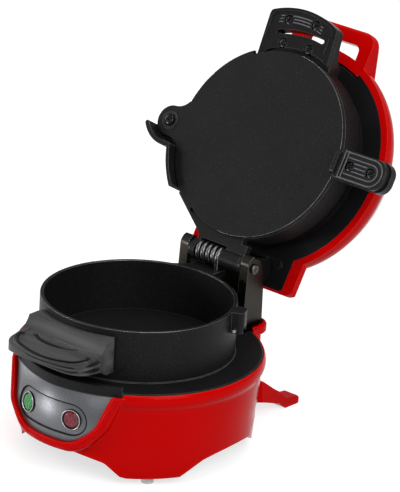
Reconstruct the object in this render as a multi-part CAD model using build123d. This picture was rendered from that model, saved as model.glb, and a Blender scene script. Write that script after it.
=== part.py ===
from build123d import *
import math
import os

# A round countertop sandwich cooker, built with its lid and upper ring open.
# Millimetres, +Z up. The origin is on the table under the axis of the round cooking ring.
# -Y is the front with the control panel, +Y is the hinge side.
# Moving pieces are drawn in their closed places and then turned back about the hinge pin.

# Hinge
HINGE_Y = 66.4
HINGE_Z = 90.3
OPEN_ANGLE = 119.8
PIN_R = 2.2
PIN_FIT = 0.05
KNUCKLE_R = 5.3

# Heights above the table, lid closed
FOOT_DROP = 2.5
LEDGE_Z = 52.3
FLANGE_Z = 55.3
RING_Z = 56.0
RING_TOP_Z = 84.9
EGG_Z = 85.4
EGG_T = 2.4
UPPER_Z = 88.2
UPPER_TOP_Z = 102.7
LID_Z = 112.0

# Rings and plates
RING_R = 54.0
RING_BORE_R = 51.7
DISC_R = 50.5
FLANGE_R = 69.5
EGG_R = 53.9
EGG_LOBE_R = 55.3
EGG_LOBE_X = -1.6
EGG_LOBE_END_X = -28.0
PIVOT_X = -64.6
PIVOT_Y = 4.0
EAR_R = 8.9
EAR_BLEND_R = 10.0
PIVOT_R = 2.0

# Base housing
WALL = 2.4
BEAD_R = 71.3
BODY_TOP_R = 69.2
BODY_FOOT_R = 63.3
BEAD_Z = 51.0
WAIST_Z = 45.0
LOBE_ANGLE = 39.5
ARCH_SHOULDER_Z = 12.5
ARCH_TOP_Z = 17.0
COVER_Z = 19.5
COVER_T = 2.0
SHIELD_Z = 31.0

# Control panel
PANEL_TOP_Z = 53.2
PANEL_TOP_HALF = 38.0
PANEL_WAIST_HALF = 30.5
PANEL_WAIST_Z = 33.5
PANEL_LOW_Z = 23.0
PANEL_LOW_HALF = 18.0
PANEL_CORNER_R = 18.0
PANEL_RIM = 5.0
PANEL_RIM_R = 73.0
PANEL_FACE_R = 70.9
PANEL_BACK_R = 68.6
LIGHT_ANGLE = 13.5
LIGHT_Z = 36.2
LIGHT_R = 4.9
LIGHT_RING_R = 5.8

# Hinge tower, posts and legs
TOWER_HALF = 28.4
TOWER_REAR_Y = 77.2
TOWER_CORNER_R = 8.0
TOWER_LIP_HALF = 30.5
TOWER_LIP_Y = 80.0
TOWER_LIP_CORNER_R = 9.4
TOWER_LIP_T = 1.8
TOWER_LIP_Z = 51.6
TOWER_TOP_Z = 57.4
TOWER_FLOOR_Z = 22.4
PLATE_NOTCH_HALF = 28.1
POST_FACE_X = 25.1
POST_T = 1.6
POST_BAND = 5.8
POST_REAR_Y = 75.8
POST_TOP_R = 5.45
POST_SCREW_Y = 65.0
LEG_X = 25.5
LEG_WIDTH = 8.8

# Handles and fastenings
LUG_ANGLE = 26.0
HANDLE_SPLIT_Z = 69.3
HANDLE_SCREW_Z = 65.6
HOOK_Z = 80.0
FLANGE_TOP_Z = 90.8
TOP_HANDLE_Z = 88.5
TOP_TAB_Z = 91.8
TOP_HANDLE_SCREWS = [(-15.7, -71), (3.3, -72.4), (-13.8, -57.9), (4.3, -58.5)]
PLATE_HANDLE_Y = -3.6
PLATE_HANDLE_SCREWS = [65.2, 80.0]
UPPER_PLATE_Z = 99.5

# Spring
WIRE_R = 1.35
COIL_R = 4.7
SPRING_TURNS = 4.5
SPRING_LEFT_X = -14.9
SPRING_RIGHT_X = 3.3

# Lid
LID_RIM_R = 66.5
LID_RISE = 29.2
LINER_R = 62.3
LIP_R = 59.6
LIP_ANGLE = 24.5
TAIL_HALF = 39.5
TAIL_LINER_HALF = 32.2
TAIL_END_Y = 73.4
BRACKET_HALF = 19.0

SCREW_HEAD_R = 3.0
SCREW_HEAD_T = 1.6
SCREW_SHANK_R = 1.3
SCREW_HOLE_R = 1.35


def rod_x(radius, x_from, x_to, y, z):
    middle = (x_from + x_to) / 2
    return Location((middle, y, z), (0, 90, 0)) * Cylinder(radius, abs(x_to - x_from))


def pin_barrel(radius, x_from, x_to):
    return rod_x(radius, x_from, x_to, HINGE_Y, HINGE_Z)


def disc(radius, z_from, z_to, x=0.0, y=0.0):
    return Location((x, y, (z_from + z_to) / 2)) * Cylinder(radius, z_to - z_from)


def tube(outer, inner, z_from, z_to, x=0.0, y=0.0):
    return disc(outer, z_from, z_to, x, y) - disc(inner, z_from - 1, z_to + 1, x, y)


def block(x_from, x_to, y_from, y_to, z_from, z_to):
    middle = ((x_from + x_to) / 2, (y_from + y_to) / 2, (z_from + z_to) / 2)
    return Location(middle) * Box(x_to - x_from, y_to - y_from, z_to - z_from)


def polar(radius, degrees):
    turn = math.radians(degrees)
    return (radius * math.cos(turn), radius * math.sin(turn))


def plan_face(points, z, rounding=0.0):
    face = make_face(Polyline(*points, close=True))
    if rounding > 0:
        face = fillet(face.vertices(), rounding)
    return Location((0, 0, z)) * face


def slab(points, z_from, z_to, rounding=0.0):
    return extrude(plan_face(points, z_from, rounding), z_to - z_from, dir=(0, 0, 1))


def side_prism(points, x_from, x_to, rounding=0.0):
    """A solid with a Y-Z outline, running along X."""
    outline = make_face(Polyline(*[(y, z) for y, z in points], close=True))
    if rounding > 0:
        outline = fillet(outline.vertices(), rounding)
    plane = Plane(origin=(x_from, 0, 0), x_dir=(0, 1, 0), z_dir=(1, 0, 0))
    return extrude(plane * outline, x_to - x_from)


def front_prism(points, y_from, y_to, rounding=0.0):
    """A solid with an X-Z outline, running along Y."""
    outline = make_face(Polyline(*points, close=True))
    if rounding > 0:
        outline = fillet(outline.vertices(), rounding)
    plane = Plane(origin=(0, y_to, 0), x_dir=(1, 0, 0), z_dir=(0, -1, 0))
    return extrude(plane * outline, y_to - y_from)


def turned(points):
    """A solid of revolution about the ring axis from (radius, height) points."""
    outline = make_face(Plane.XZ * Polyline(*points, close=True))
    return revolve(outline, Axis.Z)


def sector(radius, from_angle, to_angle, z_from, z_to):
    """A wedge of a disc, counted anticlockwise from above."""
    first = polar(radius, from_angle)
    middle = polar(radius, (from_angle + to_angle) / 2)
    last = polar(radius, to_angle)
    edge = ThreePointArc(first, middle, last)
    face = make_face([Line((0, 0), first), edge, Line(last, (0, 0))])
    return extrude(Location((0, 0, z_from)) * face, z_to - z_from, dir=(0, 0, 1))


def screw(x, y, head_z, tip_z, head_r=SCREW_HEAD_R, shank_r=SCREW_SHANK_R):
    """A pan head on the side of head_z, with its shank running to tip_z."""
    sign = 1.0 if tip_z > head_z else -1.0
    head_end = head_z + sign * SCREW_HEAD_T
    head = disc(head_r, min(head_z, head_end), max(head_z, head_end), x, y)
    outer_edge = head.faces().sort_by(Axis.Z)[0 if sign > 0 else -1].edges()
    head = chamfer(outer_edge, 0.6)
    shank = disc(shank_r, min(head_end, tip_z), max(head_end, tip_z), x, y)
    return head + shank


def opened(shape):
    """Turn a closed piece back about the hinge pin into the open pose."""
    axis = Axis((0, HINGE_Y, HINGE_Z), (1, 0, 0))
    return shape.rotate(axis, -OPEN_ANGLE)


def write(name, *shapes):
    solids = []
    for shape in shapes:
        solids.extend(shape.solids())
    result = solids[0] if len(solids) == 1 else Compound(children=solids)
    export_step(result, "parts/" + name + ".step")


# Base pieces

def base_outer():
    foot = (BODY_FOOT_R, FOOT_DROP)
    waist = (BODY_TOP_R, WAIST_Z)
    bead_low = (BODY_TOP_R + 0.5, WAIST_Z + 1.4)
    rim = (FLANGE_R + 0.7, FLANGE_Z - 0.6)
    outline = make_face([
        Plane.XZ * Line((0, FOOT_DROP), foot),
        Plane.XZ * Line(foot, waist),
        Plane.XZ * Line(waist, bead_low),
        Plane.XZ * ThreePointArc(bead_low, (BEAD_R, BEAD_Z), rim),
        Plane.XZ * Line(rim, (0, FLANGE_Z - 0.6)),
        Plane.XZ * Line((0, FLANGE_Z - 0.6), (0, FOOT_DROP)),
    ])
    return revolve(outline, Axis.Z)


def base_cavity():
    seat_r = BODY_TOP_R - WALL - 0.6
    return turned([
        (0, -1), (BODY_FOOT_R - WALL, -1), (BODY_TOP_R - WALL, WAIST_Z),
        (seat_r, LEDGE_Z), (FLANGE_R + 0.25, LEDGE_Z), (FLANGE_R + 0.25, 60), (0, 60),
    ])


def panel_outline(grow):
    return [
        (-PANEL_TOP_HALF - grow, PANEL_TOP_Z), (-PANEL_WAIST_HALF - grow, PANEL_WAIST_Z),
        (-PANEL_LOW_HALF - grow, PANEL_LOW_Z - grow), (PANEL_LOW_HALF + grow, PANEL_LOW_Z - grow),
        (PANEL_WAIST_HALF + grow, PANEL_WAIST_Z), (PANEL_TOP_HALF + grow, PANEL_TOP_Z),
    ]


def panel_prism(grow, y_from, y_to):
    outline = make_face(Polyline(*panel_outline(grow), close=True))
    low_corners = outline.vertices().filter_by(lambda v: v.Y < PANEL_TOP_Z - 5)
    outline = fillet(low_corners, PANEL_CORNER_R)
    plane = Plane(origin=(0, y_to, 0), x_dir=(1, 0, 0), z_dir=(0, -1, 0))
    return extrude(plane * outline, y_to - y_from)


def arch(half_low, half_high, top_z):
    """The Y-Z or X-Z outline of one open arch between two foot lobes."""
    low_left = (-half_low, FOOT_DROP - 1.5)
    high_left = (-half_high, ARCH_SHOULDER_Z)
    high_right = (half_high, ARCH_SHOULDER_Z)
    low_right = (half_low, FOOT_DROP - 1.5)
    face = make_face([
        Line(low_left, high_left),
        ThreePointArc(high_left, (0, top_z), high_right),
        Line(high_right, low_right),
        Line(low_right, low_left),
    ])
    shoulders = face.vertices().filter_by(lambda v: v.Y > ARCH_SHOULDER_Z - 1)
    return fillet(shoulders, 5.0)


def arches():
    reach = 2 * BEAD_R
    front_plane = Plane(origin=(0, reach / 2, 0), x_dir=(1, 0, 0), z_dir=(0, -1, 0))
    side_plane = Plane(origin=(-reach / 2, 0, 0), x_dir=(0, 1, 0), z_dir=(1, 0, 0))
    front = extrude(front_plane * arch(40.3, 30.5, ARCH_TOP_Z), reach)
    side = extrude(side_plane * arch(30.5, 14.5, ARCH_TOP_Z - 1.7), reach)
    return front + side


def lobe_angles():
    return [-LOBE_ANGLE, LOBE_ANGLE, 180 - LOBE_ANGLE, 180 + LOBE_ANGLE]


def cover_post_angles():
    return [0, 180, 250, 290]


def tower_block(shrink, z_from, z_to):
    tower = block(-TOWER_HALF + shrink, TOWER_HALF - shrink, 40, TOWER_REAR_Y - shrink, z_from, z_to)
    return fillet(tower.edges().filter_by(Axis.Z).sort_by(Axis.Y)[-2:], TOWER_CORNER_R - shrink)


def tower_lip():
    lip = block(-TOWER_LIP_HALF, TOWER_LIP_HALF, 40, TOWER_LIP_Y, TOWER_LIP_Z, TOWER_TOP_Z)
    lip = fillet(lip.edges().filter_by(Axis.Z).sort_by(Axis.Y)[-2:], TOWER_LIP_CORNER_R)
    rounded = lip.edges().filter_by(lambda e: e.center().Y > 45 and abs(e.center().Z - 54.5) > 2)
    return fillet(rounded, 1.6)


def tower_lip_room():
    half = TOWER_LIP_HALF - TOWER_LIP_T
    room = block(-half, half, 40, TOWER_LIP_Y - TOWER_LIP_T, TOWER_LIP_Z + 2, 70)
    return fillet(room.edges().filter_by(Axis.Z).sort_by(Axis.Y)[-2:], TOWER_LIP_CORNER_R - TOWER_LIP_T)


def base_housing():
    outer = base_outer()
    cavity = base_cavity()
    pod = panel_prism(PANEL_RIM, -PANEL_RIM_R - 2, -45) & disc(PANEL_RIM_R, 0, 60)
    rim_edges = pod.faces().sort_by(Axis.Y)[0].edges().filter_by(lambda e: e.center().Z < PANEL_TOP_Z - 1)
    pod = fillet(rim_edges, 3.0)
    tower_room = tower_block(WALL, TOWER_FLOOR_Z, 70) + tower_lip_room()
    shell = outer + pod + tower_block(0, TOWER_FLOOR_Z - WALL, TOWER_LIP_Z + 1) + tower_lip()
    shell = shell - cavity - tower_room
    for angle in lobe_angles():
        x, y = polar(55.5, angle)
        shell = shell + (disc(8.0, FOOT_DROP, ARCH_TOP_Z + 0.5, x, y) & outer)
    for angle in cover_post_angles():
        x, y = polar(60.6, angle)
        shell = shell + (disc(3.4, COVER_Z, SHIELD_Z, x, y) & outer)
    shell = shell - arches()
    for angle in lobe_angles():
        x, y = polar(58.6, angle)
        shell = shell - disc(1.6, 0, 8, x, y)
    for angle in cover_post_angles():
        x, y = polar(60.6 - 0.6, angle)
        shell = shell - disc(SCREW_HOLE_R, COVER_Z - 1, 28, x, y)
    pocket = panel_prism(0, -PANEL_RIM_R - 5, -45) - disc(PANEL_BACK_R, 0, 70)
    pocket_window = panel_prism(-4.5, -PANEL_RIM_R - 5, -45)
    lip_seat = sector(BEAD_R + 3, -126.4, -53.6, PANEL_TOP_Z, 60) - disc(66.4, 0, 70)
    shell = shell - pocket - pocket_window - lip_seat
    for side in (-1, 1):
        shell = shell + (rear_leg(side) - cavity - tower_room)
    for side in (-1, 1):
        shell = shell - disc(SCREW_HOLE_R, 19, 24, side * (POST_FACE_X - 6.5), POST_SCREW_Y)
    gland_hole = Location((12, TOWER_REAR_Y, 34), (90, 0, 0)) * Cylinder(4.0, 12)
    return shell - gland_hole


def rear_leg(side):
    inner = LEG_X - LEG_WIDTH / 2
    outer = LEG_X + LEG_WIDTH / 2
    x_from, x_to = (inner, outer) if side > 0 else (-outer, -inner)
    profile = [
        (50, 24.5), (75, 22), (85, 17), (92.5, 11.6), (96.5, 6.6), (105.5, 5.4),
        (107.5, 3.8), (107.5, 0), (96, 0), (90, 4.4), (76, 9), (50, 10),
    ]
    return side_prism(profile, x_from, x_to, 1.2)


def lower_heating_plate():
    cooking_z = RING_Z + 0.6
    plate = turned([
        (0, LEDGE_Z), (FLANGE_R, LEDGE_Z), (FLANGE_R, FLANGE_Z - 0.6), (FLANGE_R - 0.6, FLANGE_Z),
        (RING_R + 0.4, FLANGE_Z), (RING_R + 0.4, RING_Z), (DISC_R, RING_Z), (DISC_R, cooking_z - 0.4),
        (DISC_R - 0.4, cooking_z), (0, cooking_z),
    ])
    lip = sector(70.7, -126, -54, PANEL_TOP_Z + 0.1, 58.8) - disc(67.2, 0, 70)
    lip = fillet(lip.edges().filter_by(lambda e: e.center().Z > 58.7 and e.length > 20), 0.9)
    notch = block(-PLATE_NOTCH_HALF, PLATE_NOTCH_HALF, 57.6, 90, 0, 70)
    return plate + lip - notch


def element_ring(tube_r, ring_r, z, leg_to_z):
    """A tubular heater: most of a circle, with both ends turned away from the plate."""
    start = polar(ring_r, 110)
    middle = polar(ring_r, 270)
    end = polar(ring_r, 70)
    hoop = ThreePointArc((start[0], start[1], z), (middle[0], middle[1], z), (end[0], end[1], z))
    section = Plane(origin=hoop @ 0, z_dir=hoop % 0) * Circle(tube_r)
    ring = sweep(section, path=hoop)
    for x, y in (start, end):
        low, high = min(z, leg_to_z), max(z, leg_to_z)
        ring = ring + disc(tube_r, low, high, x, y)
    return ring


def lower_element():
    return element_ring(3.2, 36.0, LEDGE_Z - 3.2, LEDGE_Z - 16)


def thermostat(z_face, down, x, y):
    """A round snap thermostat with two blades, on the face at z_face."""
    sign = -1.0 if down else 1.0
    far = z_face + sign * 7.0
    body = disc(8.0, min(z_face, far), max(z_face, far), x, y)
    blade_end = far + sign * 6.0
    blades = []
    for offset in (-4.0, 4.0):
        blades.append(block(x + offset - 0.5, x + offset + 0.5, y - 3, y + 3,
                            min(far, blade_end), max(far, blade_end)))
    return body + blades[0] + blades[1]


def thermal_fuse(z_face, down, x, y):
    sign = -1.0 if down else 1.0
    body = rod_x(2.4, x - 7, x + 7, y, z_face + sign * 2.4)
    strap = block(x - 2.5, x + 2.5, y - 6, y + 6,
                  min(z_face, z_face + sign * 0.8), max(z_face, z_face + sign * 0.8))
    return body + strap


def heat_shield():
    dish = disc(64.8, SHIELD_Z, SHIELD_Z + 0.8)
    shield = dish - block(-TOWER_HALF - 3, TOWER_HALF + 3, 52, 90, 30, 40)
    for step in range(8):
        x, y = polar(30, step * 45)
        shield = shield - disc(4, SHIELD_Z - 1, SHIELD_Z + 2, x, y)
    return shield


def bottom_cover():
    cover = disc(62.9, COVER_Z - COVER_T, COVER_Z)
    slot = Box(18, 2.4, 10)
    for row in range(-2, 3):
        for column in (-1, 0, 1):
            place = Location((column * 24, row * 9, COVER_Z - 1))
            cover = cover - place * slot
    for angle in cover_post_angles():
        x, y = polar(60.0, angle)
        cover = cover - disc(SCREW_HOLE_R, 0, 40, x, y)
    return cover & disc(62.9, 0, 30)


def bottom_cover_screws():
    screws = []
    for angle in cover_post_angles():
        x, y = polar(60.0, angle)
        screws.append(screw(x, y, COVER_Z - COVER_T - 1.6, 27, 2.6))
    return screws


def rubber_feet():
    feet = []
    for angle in lobe_angles():
        x, y = polar(58.6, angle)
        feet.append(disc(3.4, 0, FOOT_DROP, x, y) + disc(1.55, FOOT_DROP, 7.5, x, y))
    return feet


def light_frame(side):
    angle = -90 + side * LIGHT_ANGLE
    x, y = polar(PANEL_FACE_R, angle)
    return Plane(origin=(x, y, LIGHT_Z), x_dir=(0, 0, 1), z_dir=(x, y, 0))


def radial_barrel(side, radius, depth_from, depth_to):
    """A barrel pointing out of the panel; depths are measured from the panel face."""
    frame = light_frame(side)
    circle = frame.offset(depth_from) * Circle(radius)
    return extrude(circle, depth_to - depth_from)


def control_panel():
    panel = panel_prism(-0.15, -PANEL_RIM_R - 5, -45)
    panel = panel & (disc(PANEL_FACE_R, 0, PANEL_TOP_Z) - disc(PANEL_BACK_R + 0.05, -1, 70))
    panel = panel - disc(FLANGE_R + 0.25, LEDGE_Z - 0.1, 70)
    half_span = PANEL_FACE_R * math.sin(math.radians(LIGHT_ANGLE))
    pill = Plane(origin=(0, -60, LIGHT_Z), x_dir=(1, 0, 0), z_dir=(0, -1, 0)) * SlotCenterToCenter(2 * half_span, 17.6)
    pill = extrude(pill, 20) - disc(PANEL_FACE_R - 0.6, 0, 70)
    panel = panel - pill
    for side in (-1, 1):
        panel = panel - radial_barrel(side, LIGHT_RING_R + 0.05, -6, 3)
    return panel


def light_ring(side):
    ring = radial_barrel(side, LIGHT_RING_R, -3.0, 0.3) - radial_barrel(side, LIGHT_R, -5, 3)
    return ring


def light_lens(side):
    lens = radial_barrel(side, LIGHT_R - 0.05, -5.5, 0.5)
    rim = lens.edges().filter_by(GeomType.CIRCLE).sort_by(lambda e: e.center().X ** 2 + e.center().Y ** 2)[-1]
    return fillet(rim, 1.6)


def light_lamp(side):
    lamp = radial_barrel(side, 3.0, -17, -5.5)
    return lamp


def hinge_cheek(side):
    outline = make_face(Polyline(
        (59.6, 22.4), (59.6, 62), (61.5, 92), (66.95, 97.4), (POST_REAR_Y - 1.2, 97.4), (POST_REAR_Y, 96.2),
        (POST_REAR_Y, 58), (71.6, 53.4), (71.6, 22.4), close=True))
    outline = outline + Location((66.95, 92)) * Circle(POST_TOP_R)
    front = make_face(Polyline((50, 40), (50, 110), (69.5, 110), (69.5, 92), (66, 92), (66, 40), close=True))
    band = (outline - offset(outline, -POST_T)) & front
    plane = Plane(origin=(POST_FACE_X - POST_T, 0, 0), x_dir=(0, 1, 0), z_dir=(1, 0, 0))
    cheek = extrude(plane * outline, POST_T)
    strip_plane = Plane(origin=(POST_FACE_X - POST_BAND, 0, 0), x_dir=(0, 1, 0), z_dir=(1, 0, 0))
    strip = extrude(strip_plane * band, POST_BAND)
    foot = block(POST_FACE_X - 11, POST_FACE_X, 60, 71.4, TOWER_FLOOR_Z, TOWER_FLOOR_Z + 2)
    post = cheek + strip + foot
    return post if side > 0 else mirror(post, Plane.YZ)


def hinge_bracket():
    """Two cheeks that hold the pin, joined by a plate across the back."""
    inner = POST_FACE_X - POST_T + 0.2
    web = block(-inner, inner, POST_REAR_Y - POST_T, POST_REAR_Y, 58, 76)
    tongue = block(-16.5, 16.5, POST_REAR_Y - POST_T, POST_REAR_Y, 75, 84)
    bracket = hinge_cheek(-1) + hinge_cheek(1) + web + tongue - pin_barrel(PIN_R + PIN_FIT, -30, 30)
    for side in (-1, 1):
        bracket = bracket - disc(SCREW_HOLE_R, 20, 30, side * (POST_FACE_X - 6.5), POST_SCREW_Y)
    return bracket


def bracket_screws():
    screws = []
    for side in (-1, 1):
        screws.append(screw(side * (POST_FACE_X - 6.5), POST_SCREW_Y, 26, 20.6, 2.6))
    return screws


def hinge_pin():
    head_x = POST_FACE_X + 0.05
    pin = pin_barrel(PIN_R, -head_x - 1.5, head_x + 1.5)
    for side in (-1, 1):
        head = pin_barrel(2.9, side * head_x, side * (head_x + 1.5))
        end = head.faces().sort_by(Axis.X)[-1 if side > 0 else 0].edges()
        pin = pin + chamfer(end, 0.5)
    for side in (-1, 1):
        dimple_x = side * (head_x + 1.5)
        pin = pin - pin_barrel(1.0, dimple_x - side * 0.5, dimple_x + side)
    return pin


def pin_spacers():
    spacers = []
    for side in (-1, 1):
        inner_x = side * 19.3
        outer_x = side * (POST_FACE_X - POST_T - 0.1)
        hole = pin_barrel(PIN_R + PIN_FIT, side * 18, side * 26)
        spacers.append(pin_barrel(3.2, inner_x, outer_x) - hole)
    return spacers


def spring_node(turn, travel):
    """Centre-line point and direction after some turns, starting at the rear, going up and over."""
    ramp = 0.25
    pitch = travel / (SPRING_TURNS - ramp)
    if turn < ramp:
        along = pitch * turn * turn / (2 * ramp)
        rate = pitch * turn / ramp
    elif turn > SPRING_TURNS - ramp:
        left = SPRING_TURNS - turn
        along = travel - pitch * left * left / (2 * ramp)
        rate = pitch * left / ramp
    else:
        along = pitch * (turn - ramp / 2)
        rate = pitch
    angle = 2 * math.pi * turn
    start_x = SPRING_LEFT_X + WIRE_R
    point = Vector(start_x + along, HINGE_Y + COIL_R * math.cos(angle), HINGE_Z + COIL_R * math.sin(angle))
    swing = 2 * math.pi * COIL_R
    direction = Vector(rate, -swing * math.sin(angle), swing * math.cos(angle))
    return point, direction.normalized()


def biarc(point_a, way_a, point_b, way_b):
    """Two arcs that leave point_a along way_a and reach point_b along way_b."""
    chord = point_b - point_a
    total = way_a + way_b
    square = 2 * (1 - way_a.dot(way_b))
    cross = chord.dot(total)
    reach = (-cross + math.sqrt(cross * cross + square * chord.dot(chord))) / square
    joint = (point_a + way_a * reach + point_b - way_b * reach) / 2
    first = TangentArc(point_a, joint, tangent=way_a)
    second = TangentArc(joint, point_b, tangent=first % 1)
    return [first, second]


def least_gap(points, skip):
    """The least clear distance between stretches of the wire that aren't neighbours."""
    least = 1e9
    for index, point in enumerate(points):
        for other in points[index + skip:]:
            least = min(least, (point - other).length)
    return least - 2 * WIRE_R


def torsion_spring(foot_z):
    travel = SPRING_RIGHT_X - SPRING_LEFT_X - 2 * WIRE_R
    quarters = int(SPRING_TURNS * 4)
    nodes = [spring_node(step / 4, travel) for step in range(quarters + 1)]
    start, start_way = nodes[0]
    end = nodes[-1][0]
    path = [Line(start - start_way * 3.2, start)]
    for (point_a, way_a), (point_b, way_b) in zip(nodes, nodes[1:]):
        path.extend(biarc(point_a, way_a, point_b, way_b))
    path.append(Line(end, Vector(end.X, end.Y, foot_z)))
    wire = Wire(path)
    section = Plane(origin=wire @ 0, z_dir=wire % 0) * Circle(WIRE_R)
    samples = [spring_node(step / 60, travel)[0] for step in range(int(SPRING_TURNS * 60) + 1)]
    print("spring least gap to itself, mm:", round(least_gap(samples, 40), 2))
    return sweep(section, path=wire)


def cord_gland():
    flange = Location((12, TOWER_REAR_Y + 1.0, 34), (90, 0, 0)) * Cylinder(6.5, 2.0)
    neck = Location((12, TOWER_REAR_Y - 2.0, 34), (90, 0, 0)) * Cylinder(3.95, 4.0)
    bore = Location((12, TOWER_REAR_Y, 34), (90, 0, 0)) * Cylinder(2.6, 20)
    return flange + neck - bore


# Bottom ring and its handle

def bottom_ring():
    ring = tube(RING_R, RING_BORE_R, RING_Z, RING_TOP_Z)
    ring = fillet(ring.edges().group_by(Axis.Z)[-1], 0.7)
    tongue = slab([(-26, 44), (-26, 47), (-14.6, 59), (-14.6, 65.5), (4.8, 65.5), (4.8, 56), (8, 53), (8, 44)],
                  80.8, 83.9)
    lug = block(52.5, 60.5, -5, 5, 72.8, RING_TOP_Z)
    lug = fillet(lug.edges().filter_by(Axis.Z).sort_by(Axis.X)[-2:], 3.0)
    lug = lug - block(57.4, 62, -3.4, 3.4, 72, 76)
    lug = lug.rotate(Axis.Z, LUG_ANGLE)
    tab = slab([(-9, -52.8), (9, -52.8), (9, -60), (-9, -60)], 69.3, 70.8)
    tongue = tongue + tab - disc(RING_BORE_R + 0.8, 60, 90)
    lug = lug - disc(RING_BORE_R + 0.8, 60, 90)
    return ring + tongue + lug - lug_pin(0.05)


def lug_pin(grow):
    rod = Location((56.0, -2.2, 74.8), (90, 0, 0)) * Cylinder(0.95 + grow, 10)
    return rod.rotate(Axis.Z, LUG_ANGLE)


def front_plan(left, right, corner_y, nose_y, left_round, right_round, lean=2.6):
    """A handle outline seen from above: straight sides and an arched front edge."""
    back_y = -45
    middle = (left + right) / 2
    face = make_face([
        Line((left + lean, back_y), (left, corner_y)),
        ThreePointArc((left, corner_y), (middle, nose_y), (right, corner_y)),
        Line((right, corner_y), (right - lean, back_y)),
        Line((right - lean, back_y), (left + lean, back_y)),
    ])
    front = face.vertices().filter_by(lambda v: v.Y < back_y - 5).sort_by(Axis.X)
    face = fillet(front[0], left_round)
    front = face.vertices().sort_by(lambda v: (v.X - right) ** 2 + (v.Y - corner_y) ** 2)
    return fillet(front[0], right_round)


def arc_groove(first, middle, last, width, z_from, z_to):
    slot = SlotArc(ThreePointArc(first, middle, last), width)
    return extrude(Location((0, 0, z_from)) * slot, z_to - z_from, dir=(0, 0, 1))


def bottom_handle():
    profile = make_face([
        Line((-50, 80.6), (-56.6, 80.2)),
        ThreePointArc((-56.6, 80.2), (-60.4, 76.0), (-66.5, 74.0)),
        ThreePointArc((-66.5, 74.0), (-75.5, 73.0), (-82.2, 70.6)),
        Line((-82.2, 70.6), (-83, 69.3)),
        Line((-83, 69.3), (-80, 67.5)),
        Line((-80, 67.5), (-62, 65.5)),
        Line((-62, 65.5), (-56, 62)),
        Line((-56, 62), (-50, 62)),
        Line((-50, 62), (-50, 80.6)),
    ])
    plan = front_plan(-30, 30, -77, -82.3, 7, 7)
    plane = Plane(origin=(-33, 0, 0), x_dir=(0, 1, 0), z_dir=(1, 0, 0))
    grip = extrude(plane * profile, 66) & extrude(Location((0, 0, 60)) * plan, 24, dir=(0, 0, 1))
    collar = sector(56.6, -118.5, -61.5, 62, 81)
    body = grip + collar - disc(RING_R + 0.1, 50, 90)
    body = body - arc_groove((-15.5, -64.3), (-1, -68.4), (13.5, -64.3), 1.6, 72.6, 82)
    for x in (-16, 16):
        body = body - disc(SCREW_HOLE_R, 60, 71.5, x, -68) - disc(3.1, 60, HANDLE_SCREW_Z + SCREW_HEAD_T, x, -68)
    return body - block(-9.1, 9.1, -60.1, -50, 69.2, 70.9)


def bottom_handle_halves():
    body = bottom_handle()
    upper = body & block(-40, 40, -90, -40, HANDLE_SPLIT_Z, 90)
    lower = body & block(-40, 40, -90, -40, 50, HANDLE_SPLIT_Z)
    return upper, lower


def bottom_handle_screws():
    return [screw(x, -68, HANDLE_SCREW_Z, 71.4) for x in (-16, 16)]


# Top ring, drawn closed

def top_ring():
    ring = tube(RING_R, RING_BORE_R, UPPER_Z, UPPER_TOP_Z)
    ring = fillet(ring.edges().group_by(Axis.Z)[-1], 0.7)
    flange = sector(56.6, 134, 238, UPPER_Z, FLANGE_TOP_Z)
    ear = disc(EAR_R, UPPER_Z, FLANGE_TOP_Z, PIVOT_X, PIVOT_Y)
    shoulder = slab([(PIVOT_X, PIVOT_Y), (-76.2, 9), (-70, 16.0), (-60, 18.5), (-50, 16), (-50, 0)],
                    UPPER_Z, FLANGE_TOP_Z)
    toe = slab([(-72, -2), (-62, -4.6), (-57, -9), (-54, -18), (-50, -18), (-50, 6), (-66, 6)],
               UPPER_Z, FLANGE_TOP_Z)
    rib = sector(59.2, 138, 163, HOOK_Z, FLANGE_TOP_Z) - disc(57.2, HOOK_Z - 1, UPPER_Z)
    hook = arc_groove((-56.4, 17.6), (-68, 15.8), (-75.2, 9.6), 2.6, HOOK_Z, FLANGE_TOP_Z)
    neck = slab([(-44, 26), (-41.5, 41), (-18.6, 57.5), (-17.1, 60), (-17.1, 63), (12.3, 63), (12.3, 45), (0, 30)],
                UPPER_Z, UPPER_Z + 4)
    tab = slab([(-20, -51), (8, -51), (8, -60), (-20, -60)], TOP_TAB_Z, TOP_TAB_Z + 1.2)
    added = flange + ear + shoulder + toe + rib + hook + neck + tab - disc(RING_BORE_R + 0.8, 70, 110)
    added = added + knuckle(-17.1, -15.2) + knuckle(3.6, 16.9)
    added = added - pin_barrel(6.6, -15.2, 3.6) - block(-15.2, 3.6, 59.8, 72, 80, HINGE_Z)
    ring = ring + added - pin_barrel(PIN_R + PIN_FIT, -30, 30)
    for x, y in TOP_HANDLE_SCREWS:
        ring = ring - disc(SCREW_HOLE_R, 80, 100, x, y)
    return ring - disc(PIVOT_R + PIN_FIT, 80, 100, PIVOT_X, PIVOT_Y)


def knuckle(x_from, x_to):
    barrel = pin_barrel(KNUCKLE_R, x_from, x_to)
    web = block(x_from, x_to, 56, HINGE_Y, UPPER_Z, UPPER_Z + 4)
    return barrel + web


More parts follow.
